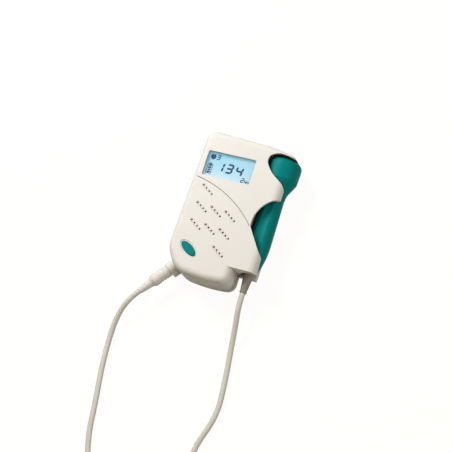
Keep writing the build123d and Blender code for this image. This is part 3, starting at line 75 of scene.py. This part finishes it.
# ---------------------------------------------------------------- light
KEY_SIZE = 0.4
KEY_FROM = (-0.55, 0.47, 0.69)
KEY_DISTANCE = 1.0
KEY_POWER = 7.8
FILL_SIZE = 1.8
FILL_FROM = (0.9, -0.05, 0.8)
FILL_DISTANCE = 2.7
FILL_POWER = 22.4
SKY_STRENGTH = 0.24
BOUNCE_TINT = (1.0, 0.86, 0.54)  # warm light from the room and the table
WHITE = (1, 1, 1, 1)
FLOOR_SIZE = 8.0
FLOOR_DROP = 0.05 * MM          # below the monitor's back, so that the two faces don't meet
FLOOR_ALBEDO = 0.13
FLOOR_LIFT = 0.93               # what the floor adds for the camera, so that it reads as white

# ---------------------------------------------------------------- finishes
# Painted shade: colours darken where little is open round a place, in seams, holes and hollows.
CREVICE_SHADE_REACH = 2.2 * MM        # how far apart the sides of seams and holes are where shade is painted
CORNER_SHADE_REACH = 11.0 * MM        # the same for larger hollows, whose painted shade is fainter
PAINTED_SHADE_FULL = 0.14             # share of open directions below which a place is painted in full shade
PAINTED_SHADE_CLEAR = 0.62            # share above which no shade is painted, where a finish says no other
PAINTED_SHADE_SAMPLES = 6
LCD_GLOW = 0.5
MIX_FACTOR, MIX_FIRST, MIX_SECOND = 0, 6, 7     # inputs of a Mix node that mixes colours
MIX_RESULT = 2                                  # and its output

# ---------------------------------------------------------------- display
OPENING_MARGIN = 1.6 * MM       # the window's hidden flange, round the opening
MARK_THICKNESS = 0.05 * MM
BAR_SHOULDER = 0.5              # from a bar's end to its full width, in shares of half its stroke
DIGIT_SLANT = 0.14              # across for each millimetre up
DIGIT_HALF_WIDTH = 0.275        # share of a digit's height
SEGMENT_GAP = 0.2               # at each end of a segment, as a share of its stroke
SEGMENTS = {"1": "bc", "2": "abged", "3": "abgcd", "4": "fgbc"}
SEGMENT_ENDS = {                # across and down from the middle, in half widths and heights
    "a": ((-1, -1), (1, -1)), "b": ((1, -1), (1, 0)), "c": ((1, 0), (1, 1)),
    "d": ((-1, 1), (1, 1)), "e": ((-1, 0), (-1, 1)), "f": ((-1, -1), (-1, 0)),
    "g": ((-1, 0), (1, 0)),
}
RATE_DIGIT = (9.5, 1.75)        # height and stroke
VOLUME_DIGIT = (4.8, 0.85)
FREQUENCY_DIGIT = (4.416, 0.85)
FIGURES = {                     # each piece's digits with their middles, and their size
    "display_rate": ([("1", 14.0, 12.3), ("3", 22.8, 12.4), ("4", 32.2, 12.8)], RATE_DIGIT),
    "display_volume": ([("3", 9.7, 4.1)], VOLUME_DIGIT),
    "display_frequency": ([("2", 37.5, 20.1)], FREQUENCY_DIGIT),
}
HEART_PLACE = (4.8, 4.1)
HEART_SIZE = 5.2
HEART_STEPS = 40
HEART_NOTCH = (0.26, 0.3)       # depth as a share of the heart's radius, and spread in radians
HEART_POINT = (0.14, 0.35)
BATTERY_PLACE = (4.3, 15.9)
BATTERY_SIZE = (4.7, 8.8)
BATTERY_LINE = 0.5
NUB_HALF_WIDTH = 0.2            # share of the battery's width
NUB_RISE = 0.7
NUB_STROKE = 1.0
CHARGE_BARS = 4
CHARGE_LOWEST = 0.15            # middle of the lowest bar and the step to the next one, as shares
CHARGE_STEP = 0.24              # of the battery's height
CHARGE_INSET = 0.9
CHARGE_TILT = 0.4
CHARGE_STROKE = 1.5
UNIT_PLACE = (39.7, 19.8)
UNIT_HEIGHT = 2.5
UNIT_STROKE = 0.42
UNIT_SPACE = 0.65               # from one letter's last stroke to the next one's first
UNIT_LETTERS = [                # strokes, across and down in shares of the letter's box, and width
    ([((0, 1), (0, 0)), ((0, 0), (0.5, 0.65)), ((0.5, 0.65), (1, 0)), ((1, 0), (1, 1))], 1.45),
    ([((0, 0), (0, 1)), ((1, 0), (1, 1)), ((0, 0.5), (1, 0.5))], 1.0),
    ([((0, 0.35), (1, 0.35)), ((1, 0.35), (0, 1)), ((0, 1), (1, 1))], 0.9),
]

# ---------------------------------------------------------------- lead
CORD_DIAMETER = 5.0 * MM
CORD_RADIUS = CORD_DIAMETER / 2
CORD_SIDES = 20
ROUTE_ORDER = 3                 # of the NURBS line
ROUTE_RESOLUTION = 8            # points of the line for each point of the route
LYING_HEIGHT = 2.6              # of the cord's centre, where it lies on the table
PROBE_LEAD = [
    (30.493, -67.292, 17.8), (30.304, -79.290, 17.8), (31.2, -96.0, 11.0), (31.8, -116.5, 4.4),
    (35.0, -144.0, 2.6), (37.5, -176.0, 2.7), (26.0, -208.0, 2.6),
]
PLUG_LEAD = [
    (-62.596, -87.763, 15.0), (-70.148, -97.089, 15.0), (-78.0, -113.0, 8.4), (-80.5, -134.0, 3.2),
    (-78.5, -162.0, 2.6), (-73.5, -193.0, 2.7), (-70.0, -223.0, 2.6), (-60.4, -251.2, 2.6),
    (-39.6, -266.8, 2.6),
]
COIL_APPROACH = (-1.0, 30.0)    # where the probe's lead turns to the coil, from the coil's end
COIL_APPROACH_HEIGHT = 2.7
COIL_CENTRE = (-2.0, -260.0)
COIL_RADIUS = 28.0
COIL_START_ANGLE = 233.13       # degrees, where the plug's side of the lead joins the coil
COIL_END_ANGLE = 360.0
COIL_WHOLE_TURNS = 4
COIL_POINTS_PER_TURN = 16
BUNDLE_RADIUS = 4.3             # from the middle of the bundle to the middle of each strand
BUNDLE_START = -90.0            # degrees round the bundle: the coil starts at its underside
BUNDLE_TWIST = 72.0             # degrees that a strand goes round the bundle in each turn
TIE_ANGLE = 100.0
TIE_LIFT = 1.1                  # how far the tie's thickness raises the bundle off the table
TIE_LIFT_FALL = 4               # how fast that dies out round the coil, as a power of the cosine


# ---------------------------------------------------------------- small helpers
def linear(red, green, blue):
    """A display colour, 0 to 255, as the shader's linear colour, by the sRGB curve."""
    channels = []
    for value in (red, green, blue):
        share = value / 255
        channels.append(share / 12.92 if share <= 0.04045 else ((share + 0.055) / 1.055) ** 2.4)
    return (*channels, 1.0)


def metres(points):
    return [Vector(point) * MM for point in points]


def new_object(name, mesh, body=None):
    """Adds a mesh as a piece of the object, which rides on a body if one is given."""
    piece = bpy.data.objects.new(name, mesh)
    bpy.context.scene.collection.objects.link(piece)
    if body:
        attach(piece, body)
    return piece


def mesh_from(name, build):
    """A mesh whose vertices and faces the function build adds to a bmesh."""
    work = bmesh.new()
    build(work)
    bmesh.ops.recalc_face_normals(work, faces=work.faces)
    mesh = bpy.data.meshes.new(name)
    work.to_mesh(mesh)
    work.free()
    return mesh


def skin(work, rings):
    """Faces between rings of vertices, one after another, and over the first and the last."""
    count = len(rings[0])
    for first, second in zip(rings, rings[1:]):
        for step in range(count):
            after = (step + 1) % count
            work.faces.new((first[step], first[after], second[after], second[step]))
    work.faces.new(rings[0])
    work.faces.new(rings[-1])


def give(piece, material):
    """Puts one material on a piece."""
    piece.data.materials.clear()
    piece.data.materials.append(material)


# ---------------------------------------------------------------- shader nodes
def feed(tree, value, target):
    """Gives a socket a plain value or another node's output."""
    if isinstance(value, bpy.types.NodeSocket):
        tree.links.new(value, target)
    else:
        target.default_value = value


def new_node(tree, kind, **inputs):
    """A node with its inputs fed. An underscore in an input's name stands for a space."""
    node = tree.nodes.new(kind)
    for socket, value in inputs.items():
        feed(tree, value, node.inputs[socket.replace("_", " ")])
    return node


def mixed_colour(tree, factor, first, second):
    """A colour between two others."""
    mix = new_node(tree, "ShaderNodeMix")
    mix.data_type = "RGBA"
    for value, socket in ((factor, MIX_FACTOR), (first, MIX_FIRST), (second, MIX_SECOND)):
        feed(tree, value, mix.inputs[socket])
    return mix.outputs[MIX_RESULT]


def mapped(tree, value, low, high, start=0.0, stop=1.0):
    """A value between start and stop, spread from low to high."""
    spread = new_node(tree, "ShaderNodeMapRange", Value=value, From_Min=start, From_Max=stop,
                      To_Min=low, To_Max=high)
    return spread.outputs["Result"]


def calculated(tree, operation, first, second):
    """The result of a Math node."""
    node = new_node(tree, "ShaderNodeMath")
    node.operation = operation
    feed(tree, first, node.inputs[0])
    feed(tree, second, node.inputs[1])
    return node.outputs["Value"]


# ---------------------------------------------------------------- materials
class Finish:
    """A Principled material built up from layers of procedural detail."""

    def __init__(self, name, colour, roughness, **sockets):
        self.material = bpy.data.materials.new(name)
        self.material.use_nodes = True
        self.tree = self.material.node_tree
        self.shader = self.tree.nodes["Principled BSDF"]
        self.place = self.node("ShaderNodeTexCoord").outputs["Object"]
        self.paint(colour)
        self.set("Roughness", roughness)
        for socket, value in sockets.items():
            self.set(socket.replace("_", " "), value)

    def node(self, kind, **inputs):
        return new_node(self.tree, kind, **inputs)

    def set(self, socket, value):
        feed(self.tree, value, self.shader.inputs[socket])

    def stretched(self, stretch):
        """Object coordinates, scaled along each axis."""
        return self.node("ShaderNodeMapping", Vector=self.place, Scale=stretch).outputs["Vector"]

    def noise(self, scale, detail=3.0, stretch=None):
        place = self.stretched(stretch) if stretch else self.place
        texture = self.node("ShaderNodeTexNoise", Vector=place, Scale=scale, Detail=detail)
        return texture.outputs["Fac"]

    def cells(self, scale):
        texture = self.node("ShaderNodeTexVoronoi", Vector=self.place, Scale=scale)
        return texture.outputs["Distance"]

    def waves(self, scale, stretch):
        texture = self.node("ShaderNodeTexWave", Vector=self.stretched(stretch), Scale=scale)
        return texture.outputs["Fac"]

    def ranged(self, value, low, high, start=0.3, stop=0.7):
        """A value between start and stop, as most of a texture is, spread from low to high."""
        return mapped(self.tree, value, low, high, start, stop)

    def blend(self, factor, first, second):
        return mixed_colour(self.tree, factor, first, second)

    def paint(self, colour):
        self.set("Base Color", colour)
        self.painted = colour
        return self

    def mottle(self, scale, other, reach=0.5):
        """Faint variation of the colour towards another one."""
        factor = self.ranged(self.noise(scale), 0.0, reach)
        return self.paint(self.blend(factor, self.painted, other))

    def painted_shade(self, colour, reach, amount=1.0, clear=PAINTED_SHADE_CLEAR):
        """Painted shade in places about as narrow as reach, where less than the share clear is
        open: the colour darkens towards another one there.
        """
        open_share = self.node("ShaderNodeAmbientOcclusion", Distance=reach)
        open_share.samples = PAINTED_SHADE_SAMPLES
        factor = self.ranged(open_share.outputs["AO"], amount, 0.0, PAINTED_SHADE_FULL, clear)
        return self.paint(self.blend(factor, self.painted, colour))

    def polish(self, scale, low, high):
        """Patches that are smoother or duller than the rest, as handling leaves them."""
        self.set("Roughness", self.ranged(self.noise(scale), low, high))
        return self

    def relief(self, height, depth, strength=1.0):
        """Bump from a texture, on top of any bump that is there already."""
        bump = self.node("ShaderNodeBump", Strength=strength, Distance=depth, Height=height)
        normal = self.shader.inputs["Normal"]
        if normal.is_linked:
            feed(self.tree, normal.links[0].from_socket, bump.inputs["Normal"])
        self.set("Normal", bump.outputs["Normal"])
        return self

    def grain(self, scale, depth, strength=1.0):
        return self.relief(self.noise(scale, 2.0), depth, strength)


def ivory_plastic():
    """Satin moulded shell: fine spark-eroded texture, faint warm clouds, a few rubbed patches, and
    painted shade in its hollows, seams and holes.
    """
    finish = Finish("ivory_plastic", linear(241, 239, 238), 0.5, IOR=1.46, Specular_IOR_Level=0.3)
    finish.mottle(45, linear(236, 233, 229))
    finish.mottle(700, linear(243, 241, 239), 0.35)
    # painted shade, brown, in the larger hollows such as the notch and the dock
    finish.painted_shade(linear(110, 94, 74), CORNER_SHADE_REACH, 0.8, 0.6)
    # painted shade, near black, inside the grille's holes, the grooves and the seam
    finish.painted_shade(linear(26, 22, 18), CREVICE_SHADE_REACH)
    finish.polish(60, 0.44, 0.58)
    finish.grain(2600, 0.03 * MM, 0.5)
    return finish.grain(260, 0.05 * MM, 0.15).material


def teal_plastic():
    """Satin moulded plastic with the slight waviness and smudges of a handled part."""
    finish = Finish("teal_plastic", linear(0, 140, 140), 0.42, Specular_IOR_Level=0.06)
    finish.mottle(90, linear(0, 127, 130))
    # painted shade, dark teal, in the hollows round the probe: the dock and below its head
    finish.painted_shade(linear(8, 72, 68), CORNER_SHADE_REACH, 0.8, 0.9)
    finish.polish(110, 0.34, 0.48)
    finish.grain(1800, 0.02 * MM, 0.35)
    return finish.grain(120, 0.08 * MM, 0.12).material


def clear_window():
    finish = Finish("clear_window", linear(246, 250, 252), 0.06, Alpha=0.04, IOR=1.49)
    finish.polish(140, 0.04, 0.1)
    return finish.grain(300, 0.02 * MM, 0.05).material


def lcd_glass():
    """Backlit display: cyan at its top left corner, paler towards the bottom, with fine rows."""
    finish = Finish("lcd_glass", linear(176, 220, 241), 0.3)
    low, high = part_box("display_panel")
    place = finish.node("ShaderNodeSeparateXYZ", Vector=finish.place)
    down = finish.ranged(place.outputs["Y"], 1.0, 0.0, low.y, high.y)
    right = finish.ranged(place.outputs["X"], 0.0, 1.0, low.x, high.x)
    pale = finish.blend(down, linear(121, 178, 200), linear(168, 196, 210))
    cyan = finish.blend(right, linear(100, 174, 193), linear(138, 185, 205))
    finish.paint(finish.blend(finish.ranged(down, 0.0, 1.0, 0.0, 0.9), cyan, pale))
    finish.mottle(160, linear(160, 199, 214), 0.3)
    finish.relief(finish.waves(900, (0, 1, 0)), 0.01 * MM, 0.1)
    finish.set("Emission Color", finish.painted)
    finish.set("Emission Strength", LCD_GLOW)
    return finish.material


def lcd_ink():
    finish = Finish("lcd_ink", linear(6, 62, 114), 0.5, Specular_IOR_Level=0.1)
    finish.mottle(900, linear(16, 72, 126))
    return finish.grain(2500, 0.01 * MM, 0.2).material


def light_guide():
    """Milky plate with a fine pattern of dots that spread the backlight."""
    finish = Finish("light_guide", linear(236, 240, 242), 0.3)
    finish.mottle(200, linear(226, 232, 236))
    return finish.relief(finish.cells(1200), 0.02 * MM, 0.3).material


def black_frame():
    finish = Finish("black_frame", linear(44, 45, 48), 0.55)
    finish.mottle(300, linear(56, 56, 58))
    finish.polish(150, 0.45, 0.62)
    return finish.grain(2400, 0.03 * MM, 0.5).material


def solder_mask():
    """Green board with the faint relief and lighter lines of the tracks under its mask."""
    finish = Finish("solder_mask", linear(14, 92, 48), 0.35, Coat_Weight=0.4)
    tracks = finish.waves(220, (1, 0.25, 0))
    copper = finish.ranged(tracks, 0.0, 1.0, 0.45, 0.55)
    finish.paint(finish.blend(copper, linear(12, 84, 44), linear(24, 116, 62)))
    finish.mottle(80, linear(18, 100, 56), 0.3)
    return finish.relief(tracks, 0.04 * MM, 0.4).material


def chip_package():
    finish = Finish("chip_package", linear(34, 34, 36), 0.6)
    finish.mottle(500, linear(46, 46, 48))
    return finish.grain(3000, 0.03 * MM, 0.6).material


def wheel_plastic():
    finish = Finish("wheel_plastic", linear(70, 71, 74), 0.5)
    finish.mottle(300, linear(86, 87, 90))
    return finish.grain(2200, 0.03 * MM, 0.5).material


def coated_steel():
    """Pressed steel under a thin dark coat, with paler worn spots."""
    finish = Finish("coated_steel", linear(58, 59, 62), 0.42, Metallic=0.5)
    finish.mottle(500, linear(78, 79, 82), 0.4)
    finish.polish(400, 0.34, 0.5)
    return finish.relief(finish.noise(300, 3.0, (1, 12, 1)), 0.01 * MM, 0.3).material


def doped_paper():
    """Speaker cone: dark stiffened paper with its fibres showing."""
    finish = Finish("doped_paper", linear(40, 38, 37), 0.85)
    finish.mottle(700, linear(58, 54, 52), 0.7)
    return finish.relief(finish.noise(900, 6.0), 0.06 * MM, 0.7).material


def ferrite():
    finish = Finish("ferrite", linear(62, 62, 66), 0.5, Metallic=0.6)
    finish.mottle(400, linear(78, 78, 80))
    return finish.relief(finish.cells(700), 0.03 * MM, 0.5).material


def cell_can():
    """Bare silver steel can with lengthwise brushing."""
    finish = Finish("cell_can", linear(150, 152, 156), 0.3, Metallic=0.85)
    finish.mottle(120, linear(172, 166, 150), 0.6)
    return finish.relief(finish.noise(500, 3.0, (8, 1, 8)), 0.01 * MM, 0.3).material


def nickel_spring():
    finish = Finish("nickel_spring", linear(200, 198, 190), 0.25, Metallic=1.0)
    finish.polish(500, 0.18, 0.36)
    return finish.grain(900, 0.01 * MM, 0.3).material


def zinc_screw():
    """Plated screw with fine turning marks and duller spots."""
    finish = Finish("zinc_screw", linear(178, 178, 182), 0.3, Metallic=1.0)
    finish.mottle(900, linear(150, 148, 146), 0.5)
    finish.polish(600, 0.24, 0.45)
    return finish.grain(1800, 0.02 * MM, 0.4).material


def insulator():
    finish = Finish("insulator", linear(38, 38, 40), 0.5)
    finish.mottle(400, linear(50, 50, 52))
    return finish.grain(2000, 0.02 * MM, 0.4).material


def gold_pin():
    finish = Finish("gold_pin", linear(232, 196, 110), 0.2, Metallic=1.0)
    finish.polish(900, 0.15, 0.3)
    return finish.grain(1500, 0.005 * MM, 0.3).material


def acoustic_lens():
    """Soft moulded face of the probe, duller than the shell round it."""
    finish = Finish("acoustic_lens", linear(70, 120, 124), 0.42, Coat_Weight=0.2)
    finish.mottle(200, linear(60, 108, 112))
    finish.polish(150, 0.34, 0.5)
    return finish.grain(1500, 0.02 * MM, 0.4).material


def silvered_ceramic():
    finish = Finish("silvered_ceramic", linear(206, 200, 186), 0.4, Metallic=0.3)
    finish.mottle(700, linear(186, 180, 166))
    return finish.grain(1600, 0.01 * MM, 0.4).material


def filled_epoxy():
    finish = Finish("filled_epoxy", linear(80, 76, 72), 0.6)
    finish.mottle(900, linear(104, 98, 92), 0.7)
    return finish.relief(finish.cells(1500), 0.04 * MM, 0.4).material


def grey_rubber():
    """Moulded strain relief: dull rubber with a fine blasted surface and paler rubbed patches."""
    finish = Finish("grey_rubber", linear(146, 138, 129), 0.6)
    finish.mottle(180, linear(158, 150, 140))
    # painted shade, dark brown, where the gland runs under the overhanging case
    finish.painted_shade(linear(70, 63, 55), CORNER_SHADE_REACH, 0.9, 0.9)
    finish.polish(200, 0.5, 0.68)
    return finish.grain(2600, 0.03 * MM, 0.6).material


def plated_shield():
    finish = Finish("plated_shield", linear(208, 208, 212), 0.18, Metallic=1.0)
    finish.polish(700, 0.14, 0.26)
    return finish.grain(1200, 0.01 * MM, 0.25).material


def plug_plastic():
    finish = Finish("plug_plastic", linear(240, 235, 234), 0.5, Specular_IOR_Level=0.3)
    finish.mottle(200, linear(233, 227, 225))
    finish.polish(150, 0.42, 0.58)
    return finish.grain(2200, 0.03 * MM, 0.5).material


def cord_jacket():
    """Pale soft jacket with a faint print of the strands under it."""
    finish = Finish("cord_jacket", linear(232, 227, 223), 0.5, Specular_IOR_Level=0.3)
    finish.mottle(130, linear(222, 216, 211))
    finish.polish(160, 0.42, 0.6)
    finish.grain(2400, 0.03 * MM, 0.4)
    return finish.grain(220, 0.1 * MM, 0.2).material


def woven_strap():
    """Hook and loop strap: a fine weave with fuzz."""
    finish = Finish("woven_strap", linear(52, 53, 56), 0.9, Sheen_Weight=0.4)
    finish.mottle(1200, linear(74, 75, 78), 0.7)
    finish.relief(finish.waves(900, (1, 1, 0.2)), 0.12 * MM, 0.7)
    return finish.relief(finish.noise(3500, 5.0), 0.1 * MM, 0.6).material


FINISHES = {
    "case": ivory_plastic, "window": clear_window, "lcd": lcd_glass, "backlight": light_guide,
    "dark_frame": black_frame, "circuit_board": solder_mask, "chips": chip_package,
    "teal": teal_plastic, "wheel": wheel_plastic, "basket": coated_steel, "paper": doped_paper,
    "ferrite": ferrite, "cell_can": cell_can, "contact": nickel_spring, "screw": zinc_screw,
    "insulator": insulator, "pins": gold_pin, "lens": acoustic_lens, "ceramic": silvered_ceramic,
    "absorber": filled_epoxy, "grey_rubber": grey_rubber, "shield": plated_shield,
    "plug_body": plug_plastic, "cord_jacket": cord_jacket, "strap": woven_strap,
}


def finish_nodes():
    """Gives each CAD node the material of its slot and returns the materials by slot."""
    made = {slot: build() for slot, build in FINISHES.items()}
    for part in frame["record"]["subparts"]:
        give(nodes[part["node"]], made[part["material_slot"]])
    return made


# ---------------------------------------------------------------- figures on the display
def display_place():
    """The opening's top left corner, at the height of the display panel's face."""
    low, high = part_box("display_window")
    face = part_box("display_panel")[1].z
    return Vector((low.x + OPENING_MARGIN, high.y - OPENING_MARGIN, face))


def flat_mark(name, outlines, material):
    """A thin dark piece on the panel. Its outlines go across and down from the corner."""
    corner = display_place()

    def build(work):
        for outline in outlines:
            points = [corner + Vector((x, -y, 0)) * MM for x, y in outline]
            skin(work, [
                [work.verts.new(point + Vector((0, 0, rise))) for point in points]
                for rise in (0, MARK_THICKNESS)
            ])

    give(new_object(name, mesh_from(name, build), "housing"), material)


def bar(start, end, stroke):
    """Outline of a display segment: a bar with pointed ends."""
    start, end = Vector(start), Vector(end)
    along = (end - start).normalized() * stroke / 2
    side = Vector((-along.y, along.x))
    first, last = start + along * BAR_SHOULDER, end - along * BAR_SHOULDER
    return [
        tuple(first - along), tuple(first + side), tuple(last + side),
        tuple(last + along), tuple(last - side), tuple(first - side),
    ]


def slanted(outline, level):
    """An outline that leans to the right from the level down the display where it stays put."""
    return [(x - DIGIT_SLANT * (y - level), y) for x, y in outline]


def digit(figure, x, y, height, stroke):
    """Seven-segment figure centred on x, y."""
    half_width, half_height = height * DIGIT_HALF_WIDTH, height / 2 - stroke / 2
    outlines = []
    for segment in SEGMENTS[figure]:
        start, end = (
            Vector((half_width * across, half_height * down))
            for across, down in SEGMENT_ENDS[segment]
        )
        inset = (end - start).normalized() * (stroke * SEGMENT_GAP)
        outline = slanted(bar(start + inset, end - inset, stroke), 0)
        outlines.append([(x + across, y + down) for across, down in outline])
    return outlines


def heart(x, y, size):
    """Full round heart: a circle with a notch at its top and a small point below."""
    points = []
    for step in range(HEART_STEPS):
        angle = 2 * pi * step / HEART_STEPS
        from_top, from_bottom = min(angle, 2 * pi - angle), abs(angle - pi)
        notch = HEART_NOTCH[0] * exp(-(from_top / HEART_NOTCH[1]) ** 2)
        point = HEART_POINT[0] * exp(-(from_bottom / HEART_POINT[1]) ** 2)
        reach = size / 2 * (1 - notch + point)
        points.append((x + reach * sin(angle), y - reach * cos(angle)))
    return points


def battery_sign(x, y, width, height):
    """Upright battery centred on x, y: a thin outline in four bars, its nub, bars of charge."""
    left, right, top, low = x - width / 2, x + width / 2, y - height / 2, y + height / 2
    sides = [
        ((left, top), (left, low)), ((right, top), (right, low)),
        ((left, top), (right, top)), ((left, low), (right, low)),
    ]
    outlines = [bar(start, end, BATTERY_LINE) for start, end in sides]
    nub_half, nub_top = width * NUB_HALF_WIDTH, top - NUB_RISE
    outlines.append(bar((x - nub_half, nub_top), (x + nub_half, nub_top), NUB_STROKE))
    for level in range(CHARGE_BARS):
        middle = low - height * (CHARGE_LOWEST + CHARGE_STEP * level)
        start = (left + CHARGE_INSET, middle + CHARGE_TILT)
        end = (right - CHARGE_INSET, middle - CHARGE_TILT)
        outlines.append(bar(start, end, CHARGE_STROKE))
    return outlines


def unit_sign(x, y):
    """The frequency's unit in small strokes: x and y are its top left corner."""
    outlines = []
    for strokes, width in UNIT_LETTERS:
        for ends in strokes:
            placed = [(x + width * across, y + UNIT_HEIGHT * down) for across, down in ends]
            outlines.append(slanted(bar(*placed, UNIT_STROKE), y))
        x += width + UNIT_SPACE
    return outlines


def display_marks(ink):
    for name, (digits, size) in FIGURES.items():
        outlines = []
        for figure, x, y in digits:
            outlines += digit(figure, x, y, *size)
        flat_mark(name, outlines, ink)
    flat_mark("display_heart", [heart(*HEART_PLACE, HEART_SIZE)], ink)
    flat_mark("display_battery", battery_sign(*BATTERY_PLACE, *BATTERY_SIZE), ink)
    flat_mark("display_unit", unit_sign(*UNIT_PLACE), ink)


# ---------------------------------------------------------------- lead
def nurbs_line(points):
    """The smooth line of the lead, whose NURBS control points are the route's points."""
    curve = bpy.data.curves.new("route", "CURVE")
    curve.dimensions = "3D"
    spline = curve.splines.new("NURBS")
    spline.points.add(len(points) - 1)
    for place, point in zip(spline.points, points):
        place.co = (*point, 1.0)
    spline.order_u = ROUTE_ORDER
    spline.use_endpoint_u = True
    spline.resolution_u = ROUTE_RESOLUTION
    holder = bpy.data.objects.new("route", curve)
    bpy.context.scene.collection.objects.link(holder)
    mesh = bpy.data.meshes.new_from_object(holder)
    line = [vertex.co.copy() for vertex in mesh.vertices]
    bpy.data.objects.remove(holder)
    return line


def line_length(line):
    return sum((b - a).length for a, b in zip(line, line[1:]))


def tube_mesh(name, line, radius):
    """Round tube along a line, with closed ends. Its rings are carried along without twist."""

    def build(work):
        heading = (line[1] - line[0]).normalized()
        side = heading.orthogonal().normalized()
        rings = []
        for index, point in enumerate(line):
            ahead = line[min(index + 1, len(line) - 1)] - line[max(index - 1, 0)]
            ahead.normalize()
            side = (side - ahead * side.dot(ahead)).normalized()
            other = ahead.cross(side)
            ring = []
            for step in range(CORD_SIDES):
                angle = 2 * pi * step / CORD_SIDES
                spoke = side * cos(angle) + other * sin(angle)
                ring.append(work.verts.new(point + spoke * radius))
            rings.append(ring)
        skin(work, rings)

    mesh = mesh_from(name, build)
    mesh.polygons.foreach_set("use_smooth", [len(face.vertices) == 4 for face in mesh.polygons])
    return mesh


def coil_points():
    """The coil's turns, from the plug's side to the probe's: strands that go round one bundle."""
    turns = COIL_WHOLE_TURNS + (COIL_END_ANGLE - COIL_START_ANGLE) / 360
    steps = round(turns * COIL_POINTS_PER_TURN)
    points = []
    for step in range(steps + 1):
        turn = turns * step / steps
        angle = radians(COIL_START_ANGLE + 360 * turn)
        lay = radians(BUNDLE_START - BUNDLE_TWIST * turn)
        radius = COIL_RADIUS + BUNDLE_RADIUS * cos(lay)
        lift = TIE_LIFT * max(0.0, cos(angle - radians(TIE_ANGLE))) ** TIE_LIFT_FALL
        points.append((
            COIL_CENTRE[0] + radius * cos(angle), COIL_CENTRE[1] + radius * sin(angle),
            LYING_HEIGHT + BUNDLE_RADIUS + lift + BUNDLE_RADIUS * sin(lay),
        ))
    return points


def lead(jacket):
    """The lead's two pieces: gland to coil, and plug to coil with all of the coil's turns.
    """
    coil = coil_points()
    end = Vector(coil[-1])
    approach = (end.x + COIL_APPROACH[0], end.y + COIL_APPROACH[1], COIL_APPROACH_HEIGHT)
    probe_side = nurbs_line(metres(PROBE_LEAD + [approach, end]))
    plug_side = nurbs_line(metres(PLUG_LEAD + coil))
    first = new_object("lead_to_probe", tube_mesh("lead_to_probe", probe_side, CORD_RADIUS))
    second = new_object("lead_to_plug", tube_mesh("lead_to_plug", plug_side, CORD_RADIUS))
    for piece in (first, second):
        give(piece, jacket)
    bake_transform(first)
    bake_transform(second)
    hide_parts("cord_probe_lead")
    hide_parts("cord_plug_lead", "cord_coil")
    line_length(probe_side)
    line_length(plug_side)


# ---------------------------------------------------------------- studio
def camera_axes():
    """The camera's right, up and backward directions."""
    azimuth, elevation = radians(CAMERA_AZIMUTH), radians(CAMERA_ELEVATION)
    roll = radians(CAMERA_ROLL)
    back = Vector((sin(azimuth) * cos(elevation), -cos(azimuth) * cos(elevation), sin(elevation)))
    level_up = (Vector((0, 1, 0)) - back * back.y).normalized()
    level_right = level_up.cross(back)
    right = level_right * cos(roll) + level_up * sin(roll)
    up = level_up * cos(roll) - level_right * sin(roll)
    return right, up, back


def add_camera():
    right, up, back = camera_axes()
    camera = bpy.data.objects.new("camera", bpy.data.cameras.new("camera"))
    camera.data.sensor_width = SENSOR
    camera.data.lens = SENSOR * FOCAL_LENGTH_PIXELS / IMAGE_SIZE
    camera.data.clip_start = CAMERA_NEAR
    camera.data.clip_end = CAMERA_FAR
    camera.matrix_world = Matrix.Translation(
        back * CAMERA_DISTANCE + right * CAMERA_ASIDE + up * CAMERA_ABOVE
    ) @ Matrix((right, up, back)).transposed().to_4x4()
    bpy.context.scene.collection.objects.link(camera)
    bpy.context.scene.camera = camera


def add_light(name, come_from, distance, size, power):
    """Square soft box that faces the middle of the object."""
    place = Vector(come_from).normalized() * distance
    lamp = bpy.data.lights.new(name, "AREA")
    lamp.size = size
    lamp.energy = power
    box = bpy.data.objects.new(name, lamp)
    box.location = place
    box.rotation_euler = place.to_track_quat("Z", "Y").to_euler()
    bpy.context.scene.collection.objects.link(box)


def seen_directly(tree):
    """1 for rays that show the background: camera, mirror and glass rays."""
    path = new_node(tree, "ShaderNodeLightPath")
    total = path.outputs["Is Camera Ray"]
    for ray in ("Is Glossy Ray", "Is Transmission Ray"):
        total = calculated(tree, "MAXIMUM", total, path.outputs[ray])
    return total


def add_world():
    """Dim warm room for the light on the object, and plain white where it is seen directly."""
    world = bpy.data.worlds.new("studio")
    world.use_nodes = True
    tree = world.node_tree
    background = tree.nodes["Background"]
    direct = seen_directly(tree)
    colour = mixed_colour(tree, direct, (*BOUNCE_TINT, 1), WHITE)
    feed(tree, colour, background.inputs["Color"])
    feed(tree, mapped(tree, direct, SKY_STRENGTH, 1.0), background.inputs["Strength"])
    bpy.context.scene.world = world


def add_floor():
    """Table. Rays that see it directly get white on top, so that only its shadows stay visible."""
    bpy.ops.mesh.primitive_plane_add(size=FLOOR_SIZE, location=(0, 0, -FLOOR_DROP))
    floor = bpy.context.object
    floor.name = "floor"
    colour = (*(FLOOR_ALBEDO * tint for tint in BOUNCE_TINT), 1)
    finish = Finish("pale_floor", colour, 0.9, Specular_IOR_Level=0.0, Emission_Color=WHITE)
    lift = calculated(finish.tree, "MULTIPLY", seen_directly(finish.tree), FLOOR_LIFT)
    finish.set("Emission Strength", lift)
    floor.data.materials.append(finish.material)


def studio():
    add_camera()
    add_world()
    add_floor()
    add_light("key", KEY_FROM, KEY_DISTANCE, KEY_SIZE, KEY_POWER)
    add_light("fill", FILL_FROM, FILL_DISTANCE, FILL_SIZE, FILL_POWER)
    bpy.context.scene.view_settings.view_transform = "Standard"


# ---------------------------------------------------------------- the whole scene
studio()
materials = finish_nodes()
lead(materials["cord_jacket"])
display_marks(lcd_ink())
